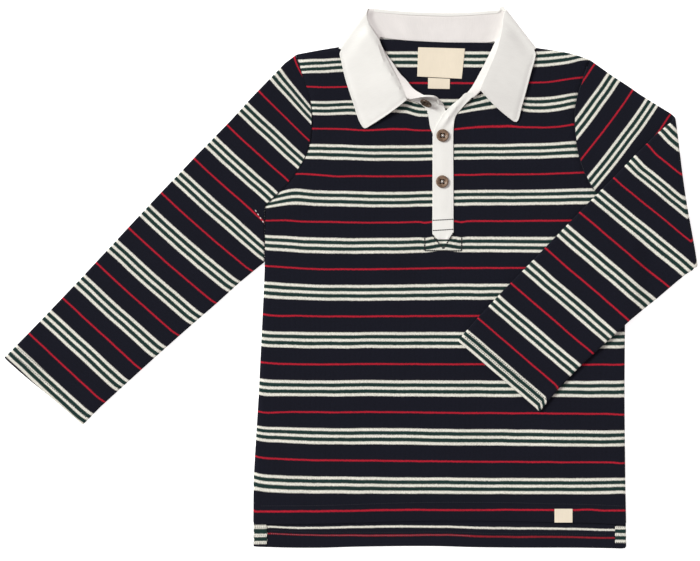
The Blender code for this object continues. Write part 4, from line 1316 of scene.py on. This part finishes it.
def strip(name, node, sections, wall, material, spacing, rise):
    """A wall of twill through sections, each with a point at either edge."""
    rows = [(row[:3], row[3:]) for row in curved(sections, spacing)]
    thick = np.interp(STRIP_ACROSS, *zip(*STRIP_THICKNESS))
    rings, threads = [], []
    travelled = 0.0
    for index, (a, b) in enumerate(rows):
        if index:
            travelled += math.dist(mix(a, b, 0.5), mix(*rows[index - 1], 0.5))
        lower = [(x, y, z + rise(x, y)) for x, y, z in (mix(a, b, share) for share in STRIP_ACROSS)]
        upper = [(x, y, z + wall * part) for (x, y, z), part in zip(lower, thick)]
        rings.append(lower + upper[::-1])
        grain = [(travelled * MM, math.dist(a, b) * share * MM) for share in STRIP_ACROSS]
        threads += grain + grain[::-1]
    points, faces = [], []
    skin(rings, points, faces)
    piece = add_mesh(name, points, faces, material, threads)
    mean = sum(math.dist(a, b) for a, b in rows) / len(rows)
    declare(piece, node)


def collar():
    right_roll = curved(LEAF_RIGHT_ROLL, 3.0)
    left_roll = curved(LEAF_LEFT_ROLL, 3.0)

    def wedge(x, y):
        return WEDGE[0] * nearness(x, y, right_roll, WEDGE[1]) * between(y, WEDGE_ENDS)

    strip("stand_twill_band", "collar_stand", STAND_SECTIONS, 1.1, STAND_TWILL, 3.5,
          wedge)
    right = Fold(SHOULDER_TURN_RIGHT, SHOULDER_FOLD, SOLID_TWILL, 1)
    left = Fold(SHOULDER_TURN_LEFT, SHOULDER_FOLD, SOLID_TWILL, -1)
    crest_line = curved(CREST, 4.0)
    crest_xs, crest_ys = zip(*crest_line)

    def crest_axis(x):
        return float(np.interp(x, crest_xs, crest_ys)) - CREST_FOLD

    crest_turn = math.pi * (CREST_FOLD - SOLID_TWILL / 2)
    crest_width = crest_turn + COLLAR_DEPTH - CREST_FOLD
    step = 3.0
    outline = curved(FALL_HEM, step)
    for edge in (LEAF_LEFT_SIDE, LEAF_LEFT_FRONT, LEAF_LEFT_ROLL):
        outline += [left.flat(*p) for p in curved(edge, step)[edge is not LEAF_LEFT_SIDE:]]

    def crest_row(up):
        """A line this far along the cloth past the crest's axis."""
        first, last = (CREST[end][0] + sign * inset * min(up / crest_turn, 1.0)
                       for end, sign, inset in zip((0, -1), (1, -1), CREST_MITRE))
        steps = round((last - first) / step)
        xs = [first + (last - first) * part / steps for part in range(steps + 1)]
        return [(x, crest_axis(x) + up) for x in xs]

    outline += crest_row(0.0)[-1:] + crest_row(crest_turn)[-1:] + crest_row(crest_width)[::-1]
    outline += crest_row(crest_turn)[:1] + crest_row(0.0)[:1]
    for edge in (LEAF_RIGHT_ROLL, LEAF_RIGHT_FRONT, LEAF_RIGHT_SIDE):
        outline += [right.flat(*p) for p in curved(edge, step)[edge is not LEAF_RIGHT_ROLL:]]

    def roll_lift(x, y, roll, rise, drop):
        apart = away([(x, y)], roll)[0]
        near = max(0.0, 1.0 - apart / LEAF_SLOPE)
        rounded = max(0.0, 1.0 - apart / ROLL_ROUND)
        start = smooth((CREST[5][1] - y) / (0.8 * ROLL_WIDTH))
        return (rise * near - drop * rounded * rounded) * start

    leaves = tuple(zip((right, left), (right_roll, left_roll), LEAF_RISE, ROLL_DROP))

    def lay_fall(x, y, height):
        for turn, roll, rise, drop in leaves:
            folded = turn.place(x, y, height)
            past = turn.beyond(x, y) - turn.turn
            if folded is None:
                continue
            if past < 0.0:
                return folded
            fx, fy, fz = folded
            sink = NECK_LIFT - neck_lift(fx, fy, FRONT_REACH)
            lift = roll_lift(fx, fy, roll, rise, drop) * smooth(past / FOLD_START)
            return fx, fy, fz + lift - sink
        over = y - crest_axis(x)
        if over <= 0.0:
            return x, y, height
        shift, z = turned(over, crest_turn, CREST_FOLD, height)
        return x, crest_axis(x) + shift, z

    creases = []
    for turn, silhouette in ((right, SHOULDER_TURN_RIGHT), (left, SHOULDER_TURN_LEFT)):
        creases += turn.creases(-5.0, math.dist(*silhouette) + 5.0, 6)
    for turn in range(7):
        creases.append(crest_row(crest_turn * turn / 6))
    grooves = []
    for turn, edges in ((left, (LEAF_LEFT_SIDE, LEAF_LEFT_FRONT)),
                        (right, (LEAF_RIGHT_FRONT, LEAF_RIGHT_SIDE))):
        for edge in edges:
            for inset in (EDGE_ROW - 1.0, EDGE_ROW, EDGE_ROW + 1.0):
                line = moved_out(curved(edge, step), -inset)[2:-2]
                line = [turn.flat(*p) for p in line if turn.beyond(*p) < -1.0]
                creases.append(line)
                if inset == EDGE_ROW:
                    grooves.append((line, *COLLAR_ROW_SINK))
    cloth("fall_twill", "collar_fall", outline, 3.5, TWILL, lay_fall, twill_grain,
          COLLAR_TWILL, creases, grooves)


def placket():
    step = 2.5
    under = curved(PLACKET_UNDER[:7], step) + divided(PLACKET_UNDER[6:10], step)[1:]
    under += curved(PLACKET_UNDER[9:] + PLACKET_UNDER[:1], step)[1:-1]
    rim = [p for p in curved(RIM[1:-1], 1.0) if RIM_CREASED[0] < p[0] < RIM_CREASED[1]]
    creases = [[(x, y + RIM_BACK + RIM_STEP * off) for x, y in rim]
               for off in (-2, -1, -0.5, 0, 0.5, 1, 2)]
    cloth("under_placket_twill", "placket_under", under, 1.8, TWILL,
          lay_placket_under, twill_grain, COLLAR_TWILL, creases)
    over = divided(PLACKET_OVER[:5], step) + curved(PLACKET_OVER[4:10], step)[1:]
    over += curved(PLACKET_OVER[9:12], step)[1:] + curved(PLACKET_OVER[11:], step)[1:]
    over += divided((PLACKET_OVER[-1], PLACKET_OVER[0]), step)[1:-1]
    cloth("over_placket_twill", "placket_over", over, 1.8, TWILL,
          lay_placket_over, twill_grain, COLLAR_TWILL)


def trim():
    def loop(points):
        return divided(list(points) + [points[0]], 2.5)[:-1]

    def hem_grain(x, y):
        band = through(HEM_STATIONS, HEM_BAND, x)
        line = through(HEM_STATIONS, HEM_LINE, x)
        down = band - y
        return x * MM, down * (HEM_LINE_MIDDLE / (band - line) if down > 0 else 1.0) / PITCH

    def vent_grain(middle, above, below):
        return lambda x, y: (x * MM, (middle - y) * (below if y < middle else above) / PITCH)

    for name, node, outline, place, below in (
            ("neck_label_tape", "neck_label", NECK_LABEL, lay_on_back, "back_jersey"),
            ("size_label_tape", "size_label", SIZE_LABEL, lay_on_back, "back_jersey"),
            ("hem_label_tape", "hem_label", HEM_LABEL, lay_on_front, "front_jersey")):
        cloth(name, node, loop(outline), 2.5, TAPE, place, twill_grain, LABEL_TAPE,
              round_rim=0.1)
    for name, node, outline, spacing, grain, material in (
            ("back_hem_jersey", "back_hem", BACK_TURN_UP, 3.5, hem_grain, HEM_STRIPES),
            ("right_vent_jersey", "vent_facing_right", VENT_RIGHT, 2.5,
             vent_grain(*VENT_STRIPES[0]), STRIPES),
            ("left_vent_jersey", "vent_facing_left", VENT_LEFT, 2.5,
             vent_grain(*VENT_STRIPES[1]), STRIPES)):
        cloth(name, node, loop(outline), spacing, JERSEY, lay_on_back, grain, material)


def button(name, node, x, y, tilt, turn, off):
    """A turned disc with four holes through it."""
    points, faces = [], []
    skin([circle(radius, height, 48) for radius, height in BUTTON_PROFILE], points, faces)
    # the open top button gets the darker horn, which is painted shade
    disc = add_mesh(name, points, faces, SHADED_HORN if tilt else HORN)    # the open one is in shade
    work = bmesh.new()
    for x_hole, y_hole, _ in circle(HOLE_REACH, 0.0, 8)[1::2]:
        made = bmesh.ops.create_cone(work, cap_ends=True, segments=16, depth=6 * MM,
                                     radius1=HOLE_RADIUS * MM, radius2=HOLE_RADIUS * MM)
        bmesh.ops.translate(work, verts=made["verts"], vec=Vector((x_hole, y_hole, 1.0)) * MM)
    drill_mesh = bpy.data.meshes.new(name + "_drill")
    work.to_mesh(drill_mesh)
    work.free()
    drill = put_in_scene(name + "_drill", drill_mesh)
    cut = disc.modifiers.new("holes", "BOOLEAN")
    cut.operation = "DIFFERENCE"
    cut.object = drill
    drilled = bpy.data.meshes.new_from_object(
        disc.evaluated_get(bpy.context.evaluated_depsgraph_get()))
    disc.modifiers.clear()
    disc.data = drilled
    bpy.data.objects.remove(drill)
    if tilt:
        _, y, rest = lay_placket_under(x, y, TWILL + off)
    else:
        rest = lay_placket_over(x, y, TWILL + GAP)[2]
    disc.rotation_euler = (math.radians(tilt), 0.0, math.radians(turn))
    disc.location = Vector((x, y, rest)) * MM
    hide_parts(node)


def on_placket(piece, x, y, off):
    piece.location = Vector((x, y, lay_placket_over(x, y, TWILL + off)[2])) * MM


def button_thread(name, x, y):
    """Two crossed lays of thread between the four holes."""
    reach = HOLE_REACH * 0.75
    points, faces = [], []
    for turn, lift in ((45.0, 0.0), (135.0, 0.3)):
        along = Vector((math.cos(math.radians(turn)), math.sin(math.radians(turn))))
        across = Vector((-along.y, along.x))
        for side in (-0.14, 0.14):
            rings = []
            for part, sink in ((-1.0, 0.9), (-0.75, 0.1), (0.0, -0.15), (0.75, 0.1), (1.0, 0.9)):
                middle = along * reach * part + across * side
                rings.append(thread_ring(*middle, 1.75 + lift - sink, across, 0.15))
            skin(rings, points, faces)
    piece = add_mesh(name, points, faces, THREAD_WHITE_COTTON, angle=80)
    on_placket(piece, x, y, GAP)


def button_shank_and_shade(name, x, y, material):
    """The wound thread that fills the gap under the button, seen through its holes: real thread,
    coloured near black as painted shade in the holes.
    """
    points, faces = [], []
    skin([circle(radius, height, 24) for radius, height in SHANK_PROFILE], points, faces)
    on_placket(add_mesh(name, points, faces, material, angle=80), x, y, 0.0)


# Sewing

def top_of(piece):
    """A function for the height of the piece's upper surface at a place."""
    mesh = piece.data
    tree = BVHTree.FromPolygons([piece.matrix_basis @ v.co for v in mesh.vertices],
                                [tuple(face.vertices) for face in mesh.polygons])

    def height(x, y):
        spot = tree.ray_cast(Vector((x * MM, y * MM, 0.1)), Vector((0.0, 0.0, -1.0)))[0]
        return None if spot is None else spot.z / MM
    return height


STITCH = (
    # share of its length, size, how deep it sinks
    (0.0, 0.35, 0.45), (0.14, 0.85, 0.1), (0.5, 1.0, -0.15), (0.86, 0.85, 0.1), (1.0, 0.35, 0.45),
)


def sew(name, material, rows):
    """Rows of stitches on the cloth, joined in one mesh.

    A row is its line and the height of the cloth's top along it.
    """
    radius, length, gap = STITCHES[name]
    points, faces = [], []
    for line, height in rows:
        total = length_of(line)
        count = max(1, round(total / (length + gap)))
        pitch = total / count
        sewn = pitch * length / (length + gap)
        for stitch in range(count):
            start = stitch * pitch + (pitch - sewn) / 2
            ends = [point_along(line, place / total) for place in (start, start + sewn)]
            tops = [height(*mix(*ends, part)) for part in (0.0, 0.5, 1.0)]
            run = Vector(ends[1]) - Vector(ends[0])
            if None in tops or run.length < 1e-6:
                continue
            side = Vector((-run.y, run.x)).normalized()
            skin([thread_ring(*mix(*ends, part),
                              float(np.interp(part, (0.0, 0.5, 1.0), tops)) - sink * radius,
                              side, radius * size)
                  for part, size, sink in STITCH], points, faces)
    add_mesh(name, points, faces, material, angle=80)


def sewing(pieces):
    front, hem = top_of(pieces["front_jersey"]), top_of(pieces["back_hem_jersey"])
    right_sleeve = top_of(pieces["right_sleeve_jersey"])
    left_sleeve = top_of(pieces["left_sleeve_jersey"])
    fall, stand = top_of(pieces["fall_twill"]), top_of(pieces["stand_twill_band"])
    over = top_of(pieces["over_placket_twill"])
    every = [top_of(piece) for piece in pieces.values()]

    def highest(x, y):
        found = [top(x, y) for top in every]
        return max((top for top in found if top is not None), default=None)

    def cuff_row(rows, back):
        start, before = rows[-1], rows[-2]
        line = []
        for side in (slice(0, 2), slice(2, 4)):
            a, b = start[side], before[side]
            line.append(mix(a, b, back / math.dist(a, b)))
        return [mix(*line, share) for share in CUFF_ROW_ENDS]

    navy = thread("navy_thread", THREAD_NAVY)
    black = thread("black_thread", THREAD_BLACK)
    pink = thread("pink_thread", THREAD_PINK)
    cream = thread("cream_thread", LABEL)
    front_row = [(x, y + FRONT_HEM_DEPTH) for x, y in curved(FRONT_HEM[2:-1], 10.0)]
    rows = [(front_row, front)]
    for back in RIGHT_CUFF_ROWS:
        rows.append((cuff_row(SLEEVE_RIGHT_SECTIONS, back), right_sleeve))
    for back in LEFT_CUFF_ROWS:
        rows.append((cuff_row(FOREARM_SECTIONS, back), left_sleeve))
    hem_row = [(x, through(HEM_STATIONS, HEM_LINE, x)) for x in range(-82, 262, 8)]
    rows.append(([(x, y + HEM_ROW_GAP) for x, y in hem_row], hem))
    sew("hem_stitches", navy, rows)
    pink_row = [p for p in hem_row if p[0] < PINK_ROW_END]
    sew("back_hem_stitches", pink, [(pink_row, hem)])
    rows = [(((start, y), (end, y)), highest)
            for (start, end), heights in (RIGHT_VENT_ROWS, LEFT_VENT_ROWS) for y in heights]
    sew("vent_stitches", navy, rows)
    armholes = []
    shown = [p for p in curved(ARMHOLE_LEFT, 2.0) if p[1] > ARMHOLE_SHOWN]
    for line in (curved(ARMHOLE_RIGHT, 2.0)[:-2], shown):
        armholes.append((line[4:], lambda x, y: max(highest(x, y) or 0.0, SEAM_HEIGHT)))
    armholes.append((UNDERARM_SEAM, lambda x, y: UNDERARM_HEIGHT))
    sew("armhole_seams", navy, armholes)
    left, right = PLACKET_OVER[0][0], PLACKET_OVER[3][0]
    rows = [(((left, start), (right, end)), over) for start, end in PLACKET_BARS]
    sew("placket_stitches", black, rows)
    start, point, end = PLACKET_V
    v_lines = ((left, start), point), (point, (right, end))
    rows = [(line, highest) for line in v_lines + PLACKET_BOX]
    sew("placket_end_stitches", black, rows)
    rows = []
    for edge in (LEAF_LEFT_SIDE[1:-1], LEAF_LEFT_FRONT[1:], LEAF_RIGHT_FRONT[:-1],
                 LEAF_RIGHT_SIDE[1:-1]):
        rows.append((moved_out(curved(edge, 3.0), -EDGE_ROW)[1:-1], fall))
    rows.append(([(left + PLACKET_EDGE_ROW, y) for y in PLACKET_EDGE_SPAN], over))
    rows.append(([(right - PLACKET_EDGE_ROW, y) for y in PLACKET_EDGE_SPAN]
                 + list(PLACKET_EDGE_TOP), over))
    rows.append(([(x, y - CREST_ROW) for x, y in curved(CREST[1:-1], 8.0)], stand))
    rows.append((STAND_ROW, stand))
    sew("collar_stitches", THREAD_WHITE_COTTON, rows)
    rows = []
    for label in (NECK_LABEL, HEM_LABEL):
        middle = mix(label[0], label[2], 0.5)
        corners = [mix(p, middle, LABEL_ROW) for p in label]
        rows.append((corners + corners[:1], highest))
    sew("label_stitches", cream, rows)
    rows = [((mix(*UNDERARM_FOLD, k / 4), mix(*UNDERARM_FOLD, (k + 0.6) / 4)), highest)
            for k in range(4)]
    sew("underarm_stitches", THREAD_WHITE_COTTON, rows)


# Stage

def stage():
    floor_mesh = bpy.data.meshes.new("floor")
    reach, low = 4.0, -0.0003
    floor_mesh.from_pydata([(-reach, -reach, low), (reach, -reach, low), (reach, reach, low),
                            (-reach, reach, low)], [], [(0, 1, 2, 3)])
    made, _, shader = shader_of("floor", 0.95, specular=0.1)
    put(shader, {"Base Color": (0.90, 0.90, 0.90, 1.0), "Emission Color": (1.0, 1.0, 1.0, 1.0),
                 "Emission Strength": 0.7})
    floor_mesh.materials.append(made)
    put_in_scene("floor", floor_mesh)
    world = bpy.data.worlds.new("studio")
    world.use_nodes = True
    put(world.node_tree.nodes["Background"], {"Color": (1.0, 0.925, 0.945, 1.0), "Strength": 0.45})
    bpy.context.scene.world = world
    key = bpy.data.lights.new("key", "SUN")
    key.energy = 2.75
    key.angle = math.radians(20.0)
    key.color = (0.98, 1.0, 0.975)
    towards_key = Vector((-1.0, 0.5, 0.95))
    put_in_scene("key", key).rotation_euler = towards_key.to_track_quat("Z", "Y").to_euler()
    settings = bpy.context.scene.view_settings
    settings.view_transform = "Standard"
    settings.look = "None"


def camera():
    """Straight above. One of the picture's 700 columns is one millimetre at the cloth."""
    data = bpy.data.cameras.new("camera")
    data.lens = 90.0
    data.sensor_width = 36.0
    data.clip_end = 20.0
    made = put_in_scene("camera", data)
    view_width, cloth_height = 0.700, 0.004
    middle = (-0.0025, -0.0025)
    made.location = (*middle, view_width * data.lens / data.sensor_width + cloth_height)
    bpy.context.scene.camera = made


camera()
stage()
body()
sleeves()
collar()
placket()
trim()
for row in BUTTONS:
    button(*row)
# the shanks' near black thread is also painted shade in the buttons' holes
shank_thread_and_shade = thread("brown_thread_and_shade", BROWN_THREAD_AND_HOLE_SHADE)
for row in BUTTONS[1:]:
    button_thread(row[0] + "_thread", *row[2:4])
    button_shank_and_shade(row[0] + "_shank", *row[2:4], shank_thread_and_shade)
sewing(CLOTHS)
